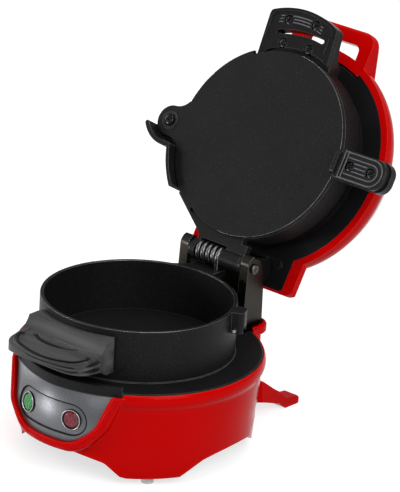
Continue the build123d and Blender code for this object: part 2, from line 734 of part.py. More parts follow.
def top_handle_halves():
    """The grip flares towards the ring, where a collar runs up the ring's wall."""
    plan = front_plan(-30.2, 18.2, -73.6, -79.2, 4.5, 3.5, -3.4)
    slot = arc_groove(polar(66, -107.5), polar(66, -93.75), polar(66, -80), 2.6, 80, 110)
    profile = [
        (-45, TOP_HANDLE_Z), (-79, TOP_HANDLE_Z), (-81, TOP_HANDLE_Z + 0.8), (-81, 93.8), (-79, 95.0),
        (-66, 95.6), (-60, 96.8), (-57, 98.6), (-55, 101.4), (-45, 101.4),
    ]
    grip = side_prism(profile, -40, 40) & extrude(Location((0, 0, 85)) * plan, 20, dir=(0, 0, 1))
    grip = grip - slot - disc(RING_R + 0.1, UPPER_Z + 3, 110) - disc(56.7, 80, UPPER_Z + 3)
    lower = grip & block(-50, 50, -90, -40, 80, TOP_TAB_Z)
    upper = grip & block(-50, 50, -90, -40, TOP_TAB_Z, 110)
    upper = upper - block(-20.1, 8.1, -60.1, -45, TOP_TAB_Z - 0.1, TOP_TAB_Z + 1.25)
    for x, y in TOP_HANDLE_SCREWS:
        hole = disc(SCREW_HOLE_R, 80, TOP_TAB_Z + 2.2, x, y)
        lower = lower - hole - disc(SCREW_HEAD_R + 0.1, 80, TOP_HANDLE_Z + 1.7, x, y)
        upper = upper - hole
    return upper, lower


def top_handle_screws():
    return [screw(x, y, TOP_HANDLE_Z + 0.1, TOP_TAB_Z + 2.1) for x, y in TOP_HANDLE_SCREWS]


def plate_pivot():
    """The screw that the cooking plate swings on, with its nut on top of the ring's ear."""
    head = disc(3.2, EGG_Z - 2.1, EGG_Z - 0.3, PIVOT_X, PIVOT_Y)
    head = chamfer(head.edges().group_by(Axis.Z)[0], 0.7)
    shank = disc(PIVOT_R, EGG_Z - 0.3, FLANGE_TOP_Z + 2.2, PIVOT_X, PIVOT_Y)
    return head + shank


def plate_pivot_nut():
    nut = extrude(Location((PIVOT_X, PIVOT_Y, FLANGE_TOP_Z)) * RegularPolygon(4.6, 6), 2.0, dir=(0, 0, 1))
    return nut - disc(PIVOT_R + 0.03, 80, 100, PIVOT_X, PIVOT_Y)


# Cooking plate, drawn closed

def blend_centres(ear_r, lobe_r, blend_r):
    """Centres of the two circles that touch the ear and the plate's edge from outside."""
    ear = Vector(PIVOT_X, PIVOT_Y)
    lobe = Vector(EGG_LOBE_X, 0)
    span = (ear - lobe).length
    way = (ear - lobe) / span
    along = ((lobe_r + blend_r) ** 2 - (ear_r + blend_r) ** 2 + span ** 2) / (2 * span)
    aside = math.sqrt((lobe_r + blend_r) ** 2 - along ** 2)
    centres = []
    for sign in (-1, 1):
        point = lobe + way * along + Vector(-way.Y, way.X) * (sign * aside)
        centres.append((point.X, point.Y))
    return centres


def cooking_plate():
    top_z = EGG_Z + EGG_T
    lobe = disc(EGG_LOBE_R, EGG_Z, top_z, EGG_LOBE_X, 0) & block(-120, EGG_LOBE_END_X, -60, 60, EGG_Z, top_z)
    plate = disc(EGG_R, EGG_Z, top_z) + lobe + disc(EAR_R, EGG_Z, top_z, PIVOT_X, PIVOT_Y)
    upper_blend, lower_blend = blend_centres(EAR_R, EGG_LOBE_R, EAR_BLEND_R)
    web = slab([(PIVOT_X, PIVOT_Y), upper_blend, (-40, 0), lower_blend], EGG_Z, top_z)
    for x, y in (upper_blend, lower_blend):
        web = web - disc(EAR_BLEND_R, EGG_Z - 1, top_z + 1, x, y)
    plate = plate + web
    plate = fillet(plate.edges().group_by(Axis.Z)[0], 0.5)
    tang = block(50, 84, PLATE_HANDLE_Y - 4.5, PLATE_HANDLE_Y + 4.5, EGG_Z, EGG_Z + EGG_T)
    boss = tube(5.0, 4.1, EGG_Z - 0.6, EGG_Z + 0.1, PIVOT_X, PIVOT_Y)
    plate = plate + tang + boss - disc(PIVOT_R + PIN_FIT, 80, 100, PIVOT_X, PIVOT_Y)
    for x in PLATE_HANDLE_SCREWS:
        plate = plate - disc(SCREW_HOLE_R, 80, 90, x, PLATE_HANDLE_Y)
    return plate


def grip_plan(half, x_from, x_to):
    face = plan_face([(x_from, -half), (x_to, -half), (x_to, half), (x_from, half)], 0)
    face = fillet(face.vertices().sort_by(Axis.X)[-2:], 7.0)
    return Location((0, PLATE_HANDLE_Y, 0)) * face


def plate_handle_upper():
    grip = extrude(Location((0, 0, EGG_Z)) * grip_plan(8.9, 54.4, 91), 5.6, dir=(0, 0, 1))
    grip = fillet(grip.edges().group_by(Axis.Z)[-1], 1.4)
    pocket = block(50, 84.1, PLATE_HANDLE_Y - 4.6, PLATE_HANDLE_Y + 4.6, EGG_Z - 1, EGG_Z + EGG_T + 0.05)
    grip = grip - pocket
    for x in PLATE_HANDLE_SCREWS:
        grip = grip - disc(SCREW_HOLE_R, 80, EGG_Z + 4.2, x, PLATE_HANDLE_Y)
    return grip


def plate_handle_lower():
    grip = extrude(Location((0, 0, EGG_Z - 4)) * grip_plan(8.6, 56.5, 89.6), 4, dir=(0, 0, 1))
    grip = fillet(grip.edges().group_by(Axis.Z)[0], 0.9)
    skirt = block(56.5, 58.8, PLATE_HANDLE_Y - 6.4, PLATE_HANDLE_Y + 7.2, 77.5, EGG_Z - 2)
    grip = grip + fillet(skirt.edges().filter_by(Axis.X).group_by(Axis.Z)[0], 2.5)
    for x in PLATE_HANDLE_SCREWS:
        grip = grip - disc(SCREW_HOLE_R, 80, 90, x, PLATE_HANDLE_Y)
        grip = grip - disc(SCREW_HEAD_R + 0.1, 80, EGG_Z - 2.1, x, PLATE_HANDLE_Y)
    return grip


def plate_handle_screws():
    return [screw(x, PLATE_HANDLE_Y, EGG_Z - 3.8, EGG_Z + 4.1) for x in PLATE_HANDLE_SCREWS]


# Lid, drawn closed

def lid_dome(shrink, floor_z):
    rim = LID_RIM_R - shrink
    top = LID_Z + LID_RISE - shrink
    points = [
        (0, floor_z), (rim, floor_z), (rim, LID_Z + 4), (rim - 0.9, LID_Z + 8.3), (rim - 3.5, LID_Z + 13),
        (rim - 9, LID_Z + 21.5), (rim - 12.5, LID_Z + 26 - shrink), (rim - 19.5, top), (0, top + 1.5),
    ]
    outline = make_face([
        Plane.XZ * Polyline(points[8], points[0], points[1], points[2]),
        Plane.XZ * ThreePointArc(points[2], points[3], points[4]),
        Plane.XZ * Line(points[4], points[5]),
        Plane.XZ * ThreePointArc(points[5], points[6], points[7]),
        Plane.XZ * Line(points[7], points[8]),
    ])
    return revolve(outline, Axis.Z)


def lid_tail(shrink, floor_z):
    end_y = TAIL_END_Y - shrink
    half = TAIL_HALF - shrink
    side = side_prism([
        (30, floor_z), (end_y, floor_z), (end_y, LID_Z + 4), (end_y - 5, LID_Z + 9 - shrink / 2),
        (end_y - 16, LID_Z + 16 - shrink), (30, LID_Z + 22 - shrink),
    ], -60, 60)
    front = front_prism([
        (-half, floor_z), (half, floor_z), (half, LID_Z + 4), (half - 9, LID_Z + 17),
        (half - 18, LID_Z + 28 - shrink), (18 - half, LID_Z + 28 - shrink), (9 - half, LID_Z + 17), (-half, LID_Z + 4),
    ], 30, 80)
    plan = plan_face([(-half, 30), (half, 30), (half, end_y), (-half, end_y)], floor_z)
    plan = fillet(plan.vertices().sort_by(Axis.Y)[-2:], 5.0)
    return side & front & extrude(plan, 60, dir=(0, 0, 1))


def lid_handle():
    plan = plan_face([(-28, -50), (28, -50), (28, -80.5), (-28, -80.5)], LID_Z)
    plan = fillet(plan.vertices().sort_by(Axis.Y)[:2], 8.0)
    loop = side_prism([
        (-50, LID_Z), (-79.3, LID_Z), (-80.5, LID_Z + 1.2), (-80.5, LID_Z + 4.2), (-78.6, LID_Z + 6),
        (-74, LID_Z + 6.4), (-60, LID_Z + 12.5), (-50, LID_Z + 17),
    ], -35, 35)
    loop = loop & extrude(plan, 30, dir=(0, 0, 1))
    window = slab([(-20, -40), (20, -40), (20, -72), (-20, -72)], LID_Z - 1, LID_Z + 30, 4.0)
    return loop - window


def liner_plan(grow):
    end_y = TAIL_END_Y - 1.3 + grow
    tail = plan_face([(-TAIL_LINER_HALF - grow, 30), (TAIL_LINER_HALF + grow, 30),
                      (TAIL_LINER_HALF + grow, end_y), (-TAIL_LINER_HALF - grow, end_y)], 0)
    tail = fillet(tail.vertices().sort_by(Axis.Y)[-2:], 2.6)
    return Circle(LINER_R + grow) + tail


def lip_cut(grow):
    """What the red front lip takes out of the liner."""
    return sector(LINER_R + 3, -90 - LIP_ANGLE - grow, -90 + LIP_ANGLE + grow, LID_Z - 1, LID_Z + 4) - disc(
        LIP_R - grow, LID_Z - 2, LID_Z + 5)


def liner_prism(grow, z_from, z_to):
    return extrude(Location((0, 0, z_from)) * liner_plan(grow), z_to - z_from, dir=(0, 0, 1))


def lid_shell():
    outer = lid_dome(0, LID_Z) + lid_tail(0, LID_Z)
    shell = outer + (lid_handle() - outer)
    room = lid_dome(2.2, LID_Z + 3.2) + lid_tail(2.2, LID_Z + 3.2)
    recess = liner_prism(0.1, LID_Z - 1, LID_Z + 1.6) - lip_cut(0)
    ledge = liner_prism(-1.7, LID_Z, LID_Z + 4)
    return shell - room - recess - ledge


def lid_liner():
    liner = liner_prism(0, LID_Z + 0.2, LID_Z + 1.6) - lip_cut(0.1)
    liner = liner - disc(47, LID_Z - 2, LID_Z + 5)
    for x in (-23.3, 23.3):
        liner = liner + disc(2.9, LID_Z - 1.2, LID_Z + 0.4, x, 58.2)
    for x in (-10, 10):
        liner = liner - disc(SCREW_HOLE_R, LID_Z - 2, LID_Z + 4, x, 64)
    return liner


def upper_heating_plate():
    pan = disc(50.2, UPPER_PLATE_Z, LID_Z + 0.2)
    pan = fillet(pan.edges().group_by(Axis.Z)[0], 1.0)
    return pan - disc(46, UPPER_PLATE_Z + 4, LID_Z + 1)


def upper_element():
    return element_ring(3.2, 36.0, UPPER_PLATE_Z + 7.2, UPPER_PLATE_Z + 18)


def lid_bracket():
    plate_z = LID_Z + 0.2 - 1.6
    plate = block(-BRACKET_HALF, BRACKET_HALF, 56, 70, plate_z, LID_Z + 0.2)
    arms = []
    for side in (-1, 1):
        x_from, x_to = sorted((side * 17.3, side * 19.0))
        arm = side_prism([(57, plate_z + 0.8), (70, plate_z + 0.8), (71.8, HINGE_Z), (61, HINGE_Z)], x_from, x_to)
        arms.append(arm + pin_barrel(5.5, x_from, x_to))
    bracket = plate + arms[0] + arms[1]
    stiff = block(-19, 19, 56, 57.6, plate_z - 5, plate_z + 0.5)
    bracket = bracket + stiff - pin_barrel(PIN_R + PIN_FIT, -30, 30)
    for x in (-10, 10):
        bracket = bracket - disc(SCREW_HOLE_R, 80, 120, x, 64)
    return bracket


def lid_bracket_screws():
    return [screw(x, 64, LID_Z - 3.0, LID_Z + 1.6) for x in (-10, 10)]


os.makedirs("parts", exist_ok=True)

write("base_housing", base_housing())
write("base_bottom_cover", bottom_cover())
write("bottom_cover_screws", *bottom_cover_screws())
write("rubber_feet", *rubber_feet())
write("control_panel", control_panel())
write("ready_light_lens", light_lens(-1))
write("power_light_lens", light_lens(1))
write("light_rings", light_ring(-1), light_ring(1))
write("indicator_lamps", light_lamp(-1), light_lamp(1))
write("lower_heating_plate", lower_heating_plate())
write("lower_heating_element", lower_element())
write("lower_thermostat", thermostat(LEDGE_Z, True, 0, 0))
write("lower_thermal_fuse", thermal_fuse(LEDGE_Z, True, 0, -18))
write("heat_shield", heat_shield())
write("cord_gland", cord_gland())
write("hinge_bracket", hinge_bracket())
write("hinge_bracket_screws", *bracket_screws())
write("hinge_pin", hinge_pin())
write("pin_spacers", *pin_spacers())
write("torsion_spring", torsion_spring(83.9))
write("bottom_ring", bottom_ring())
write("ring_lug_pin", lug_pin(0))
grip_upper, grip_lower = bottom_handle_halves()
write("bottom_handle_upper", grip_upper)
write("bottom_handle_lower", grip_lower)
write("bottom_handle_screws", *bottom_handle_screws())
write("top_ring", opened(top_ring()))
top_grip_upper, top_grip_lower = top_handle_halves()
write("top_ring_handle_upper", opened(top_grip_upper))
write("top_ring_handle_lower", opened(top_grip_lower))
write("top_ring_handle_screws", *[opened(piece) for piece in top_handle_screws()])
write("plate_pivot_screw", opened(plate_pivot()))
write("plate_pivot_nut", opened(plate_pivot_nut()))
write("cooking_plate", opened(cooking_plate()))
write("plate_handle_upper", opened(plate_handle_upper()))
write("plate_handle_lower", opened(plate_handle_lower()))
write("plate_handle_screws", *[opened(piece) for piece in plate_handle_screws()])
write("lid_shell", opened(lid_shell()))
write("lid_liner", opened(lid_liner()))
write("upper_heating_plate", opened(upper_heating_plate()))
write("upper_heating_element", opened(upper_element()))
write("upper_thermostat", opened(thermostat(UPPER_PLATE_Z + 4, False, 0, 0)))
write("upper_thermal_fuse", opened(thermal_fuse(UPPER_PLATE_Z + 4, False, 0, -18)))
write("lid_bracket", opened(lid_bracket()))
write("lid_bracket_screws", *[opened(piece) for piece in lid_bracket_screws()])
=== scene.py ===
import bpy
import math
import bmesh
from mathutils import Matrix, Vector


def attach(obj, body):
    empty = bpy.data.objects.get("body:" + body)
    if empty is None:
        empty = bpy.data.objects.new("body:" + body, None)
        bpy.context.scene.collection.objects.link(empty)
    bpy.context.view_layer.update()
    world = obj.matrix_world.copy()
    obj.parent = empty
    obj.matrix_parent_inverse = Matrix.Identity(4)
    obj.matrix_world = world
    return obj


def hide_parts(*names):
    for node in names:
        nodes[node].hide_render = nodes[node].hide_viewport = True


# A red countertop sandwich cooker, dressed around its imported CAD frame.
# The scene is in metres, +Z up, with its origin on the table under the cooking ring.
# Places and sizes of pieces are written in mm and scaled by MM.

MM = 0.001

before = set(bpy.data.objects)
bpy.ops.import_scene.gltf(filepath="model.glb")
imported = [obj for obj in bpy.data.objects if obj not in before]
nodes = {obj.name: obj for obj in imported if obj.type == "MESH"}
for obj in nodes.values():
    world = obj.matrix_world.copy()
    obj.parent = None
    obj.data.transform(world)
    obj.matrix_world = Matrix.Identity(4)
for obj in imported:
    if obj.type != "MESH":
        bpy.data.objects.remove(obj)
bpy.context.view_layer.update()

scene = bpy.context.scene
scene.view_settings.view_transform = "Standard"


# Camera

CAMERA_AZIMUTH = math.radians(40.16)
CAMERA_ELEVATION = math.radians(20.99)
CAMERA_ROLL = math.radians(3.31)
CAMERA_DISTANCE = 2.340
FOCAL_PIXELS = 4280
IMAGE_HEIGHT = 492
SENSOR_MM = 36.0
AIM_RIGHT = 34.7 * MM
AIM_UP = 53.5 * MM
RING_FOOT = Vector((0, 0, 56 * MM))


def camera_axes():
    a, e, r = CAMERA_AZIMUTH, CAMERA_ELEVATION, CAMERA_ROLL
    forward = Vector((-math.sin(a) * math.cos(e), math.cos(a) * math.cos(e), -math.sin(e)))
    level_right = Vector((math.cos(a), math.sin(a), 0))
    level_up = level_right.cross(forward)
    right = level_right * math.cos(r) + level_up * math.sin(r)
    up = level_up * math.cos(r) - level_right * math.sin(r)
    return right, up, forward


def make_camera():
    right, up, forward = camera_axes()
    target = RING_FOOT + right * AIM_RIGHT + up * AIM_UP
    data = bpy.data.cameras.new("camera")
    data.sensor_fit = "AUTO"
    data.sensor_width = SENSOR_MM
    data.lens = FOCAL_PIXELS * SENSOR_MM / IMAGE_HEIGHT
    data.clip_end = 50
    camera = bpy.data.objects.new("camera", data)
    turn = Matrix((right, up, -forward)).transposed()
    camera.matrix_world = Matrix.Translation(target - forward * CAMERA_DISTANCE) @ turn.to_4x4()
    scene.collection.objects.link(camera)
    scene.camera = camera


# Node helpers

def new_material(name):
    """A new material with its node tree, its shader and its object coordinates."""
    material = bpy.data.materials.new(name)
    material.use_nodes = True
    tree = material.node_tree
    coords = add(tree, "ShaderNodeTexCoord").outputs["Object"]
    return material, tree, tree.nodes["Principled BSDF"], coords


def add(tree, kind, **values):
    node = tree.nodes.new(kind)
    for key, value in values.items():
        setattr(node, key, value)
    return node


def link(tree, source, target):
    tree.links.new(source, target)


def noise(tree, coords, scale, detail=2.0, rough=0.5):
    node = add(tree, "ShaderNodeTexNoise")
    node.inputs["Scale"].default_value = scale
    node.inputs["Detail"].default_value = detail
    node.inputs["Roughness"].default_value = rough
    link(tree, coords, node.inputs["Vector"])
    return node.outputs["Fac"]


def ramp(tree, source, stops):
    node = add(tree, "ShaderNodeValToRGB")
    elements = node.color_ramp.elements
    for element, (position, value) in zip(elements, stops):
        element.position = position
        element.color = value if len(value) == 4 else (*value, 1)
    link(tree, source, node.inputs["Fac"])
    return node.outputs["Color"]


def grey(level):
    return (level, level, level, 1)


def grey_range(tree, pattern, at_low, at_high):
    """Grey levels from a pattern's low values to its high ones."""
    return ramp(tree, pattern, [(0.3, grey(at_low)), (0.7, grey(at_high))])


def math_node(tree, operation, first, second, clamp=False):
    node = add(tree, "ShaderNodeMath", operation=operation, use_clamp=clamp)
    for socket, value in zip(node.inputs, (first, second)):
        if isinstance(value, (int, float)):
            socket.default_value = value
        else:
            link(tree, value, socket)
    return node.outputs[0]


def mix_colour(tree, factor, first, second):
    node = add(tree, "ShaderNodeMix", data_type="RGBA")
    for name, value in (("Factor", factor), ("A", first), ("B", second)):
        socket = [s for s in node.inputs if s.name == name and (name == "Factor" or s.type == "RGBA")][0]
        if isinstance(value, tuple):
            socket.default_value = value
        else:
            link(tree, value, socket)
    return [s for s in node.outputs if s.type == "RGBA"][0]


def bevel_normal(tree, radius):
    node = add(tree, "ShaderNodeBevel", samples=6)
    node.inputs["Radius"].default_value = radius
    return node.outputs["Normal"]


def edge_mask(tree, radius):
    """1 along sharp edges of the solid, 0 on its faces."""
    rounded = bevel_normal(tree, radius)
    geometry = add(tree, "ShaderNodeNewGeometry")
    dot = add(tree, "ShaderNodeVectorMath", operation="DOT_PRODUCT")
    link(tree, rounded, dot.inputs[0])
    link(tree, geometry.outputs["Normal"], dot.inputs[1])
    falloff = math_node(tree, "SUBTRACT", 1.0, dot.outputs["Value"], clamp=True)
    return ramp(tree, falloff, [(0.02, grey(0)), (0.16, grey(1))])


def edge_highlight_and_rubbing(tree, colour, edge_colour, gain, radius, patches=None):
    """The colour, changed along the sharp edges as painted highlight with wear, and in patches where a
    pattern is given.
    """
    highlight_and_rubbing_mask = edge_mask(tree, radius)
    if patches is not None:
        highlight_and_rubbing_mask = math_node(tree, "MULTIPLY", highlight_and_rubbing_mask, patches)
    return mix_colour(tree, math_node(tree, "MULTIPLY", highlight_and_rubbing_mask, gain), colour, edge_colour)


def bump(tree, height, strength, distance, normal=None):
    node = add(tree, "ShaderNodeBump")
    node.inputs["Strength"].default_value = strength
    node.inputs["Distance"].default_value = distance
    link(tree, height, node.inputs["Height"])
    if normal is not None:
        link(tree, normal, node.inputs["Normal"])
    return node.outputs["Normal"]


# Materials

RED_DARK = (0.45, 0.0005, 0.0005)
RED_LIGHT = (0.51, 0.0008, 0.0008)
# Painted highlight: a bright pink-red laid on the housing's sharp edges.
RED_PAINTED_HIGHLIGHT = (1.0, 0.045, 0.03, 1)


def red_plastic():
    material, tree, shader, coords = new_material("red_plastic")
    tint = ramp(tree, noise(tree, coords, 14), [(0.3, RED_DARK), (0.7, RED_LIGHT)])
    # Painted highlight along the sharp edges of the red plastic.
    link(tree, edge_highlight_and_rubbing(tree, tint, RED_PAINTED_HIGHLIGHT, 0.6, 0.6 * MM), shader.inputs["Base Color"])
    shader.inputs["Roughness"].default_value = 0.14
    shader.inputs["Specular IOR Level"].default_value = 0.03
    skin = bump(tree, noise(tree, coords, 260), 0.06, 0.4 * MM, bevel_normal(tree, 0.6 * MM))
    link(tree, skin, shader.inputs["Normal"])
    return material


NON_STICK_DARK = (0.00425, 0.00425, 0.0045)
NON_STICK_LIGHT = (0.006, 0.006, 0.0064)
# Painted highlight: tiny lighter specks on the pebbles stand in for their glints.
NON_STICK_PAINTED_SPECKLE = grey(0.035)


def non_stick():
    material, tree, shader, coords = new_material("non_stick")
    pebbles = noise(tree, coords, 1500, 3, 0.6)
    ground = ramp(tree, noise(tree, coords, 42, 3), [(0.3, NON_STICK_DARK), (0.7, NON_STICK_LIGHT)])
    # Painted highlight: lighter specks where the pebbles rise.
    painted_speckle = math_node(tree, "MULTIPLY", ramp(tree, pebbles, [(0.56, grey(0)), (0.72, grey(1))]), 0.6)
    colour = mix_colour(tree, painted_speckle, ground, NON_STICK_PAINTED_SPECKLE)
    # Lighter edges in patches: wear, with painted highlight.
    colour = edge_highlight_and_rubbing(tree, colour, grey(0.2), 0.9, 0.55 * MM, noise(tree, coords, 180, 3))
    link(tree, colour, shader.inputs["Base Color"])
    link(tree, grey_range(tree, pebbles, 0.56, 0.36), shader.inputs["Roughness"])
    shader.inputs["Specular IOR Level"].default_value = 0.11
    surface = bump(tree, pebbles, 0.35, 0.25 * MM, bevel_normal(tree, 0.35 * MM))
    link(tree, surface, shader.inputs["Normal"])
    return material


def drawn_streaks(tree, coords):
    """Long fine lines across the part, as wide moulded plastic has."""
    drawn = add(tree, "ShaderNodeMapping")
    drawn.inputs["Scale"].default_value = (0.08, 1, 1)
    link(tree, coords, drawn.inputs["Vector"])
    lines = noise(tree, drawn.outputs["Vector"], 150)
    return ramp(tree, lines, [(0.35, grey(0)), (0.75, grey(1))])


def charcoal_plastic(name="charcoal_plastic", level=0.005, rough=0.3, streaks=0.0):
    """Black plastic: its grey level, its roughness and the level of its streaks, if any."""
    material, tree, shader, coords = new_material(name)
    grain = noise(tree, coords, 900)
    dark = (level * 0.9, level * 0.9, level * 0.95)
    light = (level * 1.15, level * 1.15, level * 1.22)
    tint = ramp(tree, noise(tree, coords, 60, 3), [(0.3, dark), (0.7, light)])
    if streaks:
        tint = mix_colour(tree, drawn_streaks(tree, coords), tint, grey(streaks))
    # Lighter sharp edges: painted highlight, with wear.
    link(tree, edge_highlight_and_rubbing(tree, tint, grey(0.14), 0.4, 0.5 * MM), shader.inputs["Base Color"])
    link(tree, grey_range(tree, grain, rough + 0.06, rough - 0.04), shader.inputs["Roughness"])
    shader.inputs["Specular IOR Level"].default_value = 0.14
    surface = bump(tree, grain, 0.12, 0.15 * MM, bevel_normal(tree, 0.45 * MM))
    link(tree, surface, shader.inputs["Normal"])
    return material


BLACK_METAL_DARK = (0.004, 0.004, 0.0045)
BLACK_METAL_LIGHT = (0.007, 0.007, 0.008)


def black_metal():
    material, tree, shader, coords = new_material("black_metal")
    grain = noise(tree, coords, 700, 3)
    tint = ramp(tree, noise(tree, coords, 35, 3), [(0.3, BLACK_METAL_DARK), (0.7, BLACK_METAL_LIGHT)])
    # Lighter sharp edges: painted highlight, with wear.
    link(tree, edge_highlight_and_rubbing(tree, tint, grey(0.08), 0.4, 0.5 * MM), shader.inputs["Base Color"])
    link(tree, grey_range(tree, grain, 0.42, 0.3), shader.inputs["Roughness"])
    shader.inputs["Specular IOR Level"].default_value = 0.16
    surface = bump(tree, grain, 0.1, 0.1 * MM, bevel_normal(tree, 0.4 * MM))
    link(tree, surface, shader.inputs["Normal"])
    return material


def metal(name, colour, rough, highlight_and_rubbing_level, highlight_and_rubbing_gain):
    """Bare or blackened metal with lighter edges: wear, with painted highlight."""
    material, tree, shader, coords = new_material(name)
    dark = tuple(c * 0.75 for c in colour)
    tint = ramp(tree, noise(tree, coords, 120, 4, 0.6), [(0.35, dark), (0.65, colour)])
    patches = noise(tree, coords, 300, 3)
    # Lighter edges in patches: wear, with painted highlight.
    worn = edge_highlight_and_rubbing(tree, tint, grey(highlight_and_rubbing_level), highlight_and_rubbing_gain, 0.5 * MM, patches)
    link(tree, worn, shader.inputs["Base Color"])
    shader.inputs["Metallic"].default_value = 1.0
    grain = noise(tree, coords, 500, 3)
    link(tree, grey_range(tree, grain, rough + 0.08, rough - 0.06), shader.inputs["Roughness"])
    surface = bump(tree, grain, 0.08, 0.08 * MM, bevel_normal(tree, 0.35 * MM))
    link(tree, surface, shader.inputs["Normal"])
    return material


PANEL_DARK = (0.085, 0.088, 0.096)
PANEL_LIGHT = (0.115, 0.118, 0.128)
PANEL_CROWN_Z = 30 * MM
PANEL_CROWN_HALF = 14 * MM
PANEL_CROWN_DEPTH = 2.6 * MM


def panel_crown(tree, coords):
    """The panel's gentle swell, highest at its middle."""
    place = add(tree, "ShaderNodeSeparateXYZ")
    link(tree, coords, place.inputs["Vector"])
    above = math_node(tree, "SUBTRACT", place.outputs["Z"], PANEL_CROWN_Z)
    offset = math_node(tree, "DIVIDE", above, PANEL_CROWN_HALF)
    height = math_node(tree, "SUBTRACT", 1.0, math_node(tree, "MULTIPLY", offset, offset))
    return bump(tree, height, 1.0, PANEL_CROWN_DEPTH, bevel_normal(tree, 0.5 * MM))


def panel_grey():
    material, tree, shader, coords = new_material("panel_grey")
    flakes = noise(tree, coords, 1800)
    tint = ramp(tree, flakes, [(0.35, PANEL_DARK), (0.65, PANEL_LIGHT)])
    link(tree, tint, shader.inputs["Base Color"])
    shader.inputs["Metallic"].default_value = 0.7
    shader.inputs["Coat Weight"].default_value = 0.4
    shader.inputs["Coat Roughness"].default_value = 0.18
    link(tree, grey_range(tree, flakes, 0.4, 0.32), shader.inputs["Roughness"])
    surface = bump(tree, flakes, 0.05, 0.05 * MM, panel_crown(tree, coords))
    link(tree, surface, shader.inputs["Normal"])
    return material


def lens(name, deep, bright):
    """A translucent lens with fine facets."""
    material, tree, shader, coords = new_material(name)
    cells = add(tree, "ShaderNodeTexVoronoi")
    cells.inputs["Scale"].default_value = 1500
    link(tree, coords, cells.inputs["Vector"])
    facets = cells.outputs["Distance"]
    link(tree, ramp(tree, facets, [(0.1, bright), (0.75, deep)]), shader.inputs["Base Color"])
    shader.inputs["Roughness"].default_value = 0.12
    shader.inputs["Transmission Weight"].default_value = 0.25
    shader.inputs["Specular IOR Level"].default_value = 0.25
    shader.inputs["Coat Weight"].default_value = 0.15
    shader.inputs["Coat Roughness"].default_value = 0.03
    link(tree, bump(tree, facets, 0.25, 0.2 * MM), shader.inputs["Normal"])
    return material


def clear_rubber():
    material, tree, shader, coords = new_material("clear_rubber")
    link(tree, grey_range(tree, noise(tree, coords, 300), 0.62, 0.74), shader.inputs["Base Color"])
    shader.inputs["Roughness"].default_value = 0.35
    shader.inputs["Transmission Weight"].default_value = 0.4
    return material


def pale_ring():
    material, tree, shader, coords = new_material("pale_ring")
    link(tree, grey_range(tree, noise(tree, coords, 400), 0.3, 0.38), shader.inputs["Base Color"])
    shader.inputs["Metallic"].default_value = 0.8
    shader.inputs["Roughness"].default_value = 0.3
    link(tree, bevel_normal(tree, 0.3 * MM), shader.inputs["Normal"])
    return material


def make_looks():
    """Every material, by its short name."""
    return {
        "red_plastic": red_plastic(),
        "non_stick": non_stick(),
        "charcoal": charcoal_plastic(),
        "grip": charcoal_plastic("grip_plastic", 0.026, 0.34, 0.075),
        "pale_grip": charcoal_plastic("pale_grip", 0.01, 0.28),
        "black_metal": black_metal(),
        "post": metal("post_steel", (0.034, 0.031, 0.026), 0.34, 0.25, 0.8),
        "spring": metal("spring_steel", (0.13, 0.13, 0.135), 0.3, 0.5, 0.4),
        "steel": metal("bright_steel", (0.42, 0.42, 0.43), 0.28, 0.8, 0.6),
        "dull_steel": metal("dull_steel", (0.09, 0.087, 0.08), 0.32, 0.4, 0.6),
        "black_steel": metal("black_steel", (0.02, 0.02, 0.021), 0.26, 0.2, 0.6),
        "panel": panel_grey(),
        "green_lens": lens("green_lens", (0.0, 0.09, 0.015), (0.03, 0.6, 0.1)),
        "red_lens": lens("red_lens", (0.06, 0.002, 0.005), (0.42, 0.035, 0.06)),
        "ring": metal("ring_edge", (0.03, 0.03, 0.032), 0.3, 0.4, 0.6),
        "clear": clear_rubber(),
        # Painted shade: near-black plastic laid where grooves and recesses fall dark.
        "dark": charcoal_plastic("painted_groove_shade", 0.002, 0.5),
        # Painted highlight: ribs in a much lighter grey than the handles' own plastic.
        "rib": charcoal_plastic("rib_plastic", 0.085, 0.22),
        "pale": pale_ring(),
        # Lighter metal for the rim lines: worn edges, with painted highlight.
        "worn": metal("rubbed_and_highlit_edge", (0.12, 0.12, 0.125), 0.3, 0.5, 0.6),
    }


NODES_OF_LOOK = {
    "red_plastic": ["base_housing", "lid_shell"],
    "non_stick": ["lower_heating_plate", "bottom_ring", "top_ring", "cooking_plate", "upper_heating_plate"],
    "charcoal": ["top_ring_handle_upper", "top_ring_handle_lower", "plate_handle_upper",
                 "base_bottom_cover", "cord_gland"],
    "grip": ["bottom_handle_upper", "bottom_handle_lower"],
    "pale_grip": ["plate_handle_lower"],
    "black_metal": ["lid_liner", "lid_bracket"],
    "post": ["hinge_bracket"],
    "spring": ["torsion_spring"],
    "steel": ["ring_lug_pin", "heat_shield", "lower_thermostat", "lower_thermal_fuse", "upper_thermostat",
              "upper_thermal_fuse", "lower_heating_element", "upper_heating_element", "bottom_cover_screws"],
    "dull_steel": ["hinge_pin", "pin_spacers"],
    "black_steel": ["bottom_handle_screws", "top_ring_handle_screws", "plate_handle_screws",
                    "plate_pivot_screw", "plate_pivot_nut", "hinge_bracket_screws", "lid_bracket_screws"],
    "panel": ["control_panel"],
    "green_lens": ["ready_light_lens"],
    "red_lens": ["power_light_lens"],
    "ring": ["light_rings"],
    "clear": ["rubber_feet", "indicator_lamps"],
}


def dress_frame(looks):
    """Give every CAD node its finish."""
    for look, names in NODES_OF_LOOK.items():
        for name in names:
            materials = nodes[name].data.materials
            materials.clear()
            materials.append(looks[look])


# The closed drawing in mm, and the hinge that opens it

HINGE = Vector((0, 66.4, 90.3))
OPEN_DEGREES = 119.8
OPEN_TURN = Matrix.Rotation(math.radians(-OPEN_DEGREES), 3, "X")
CLOSE_TURN = OPEN_TURN.transposed()

RING_RIM_Z = 84.72
RING_RIM_OUTER_R = 53.75
RING_RIM_INNER_R = 51.95

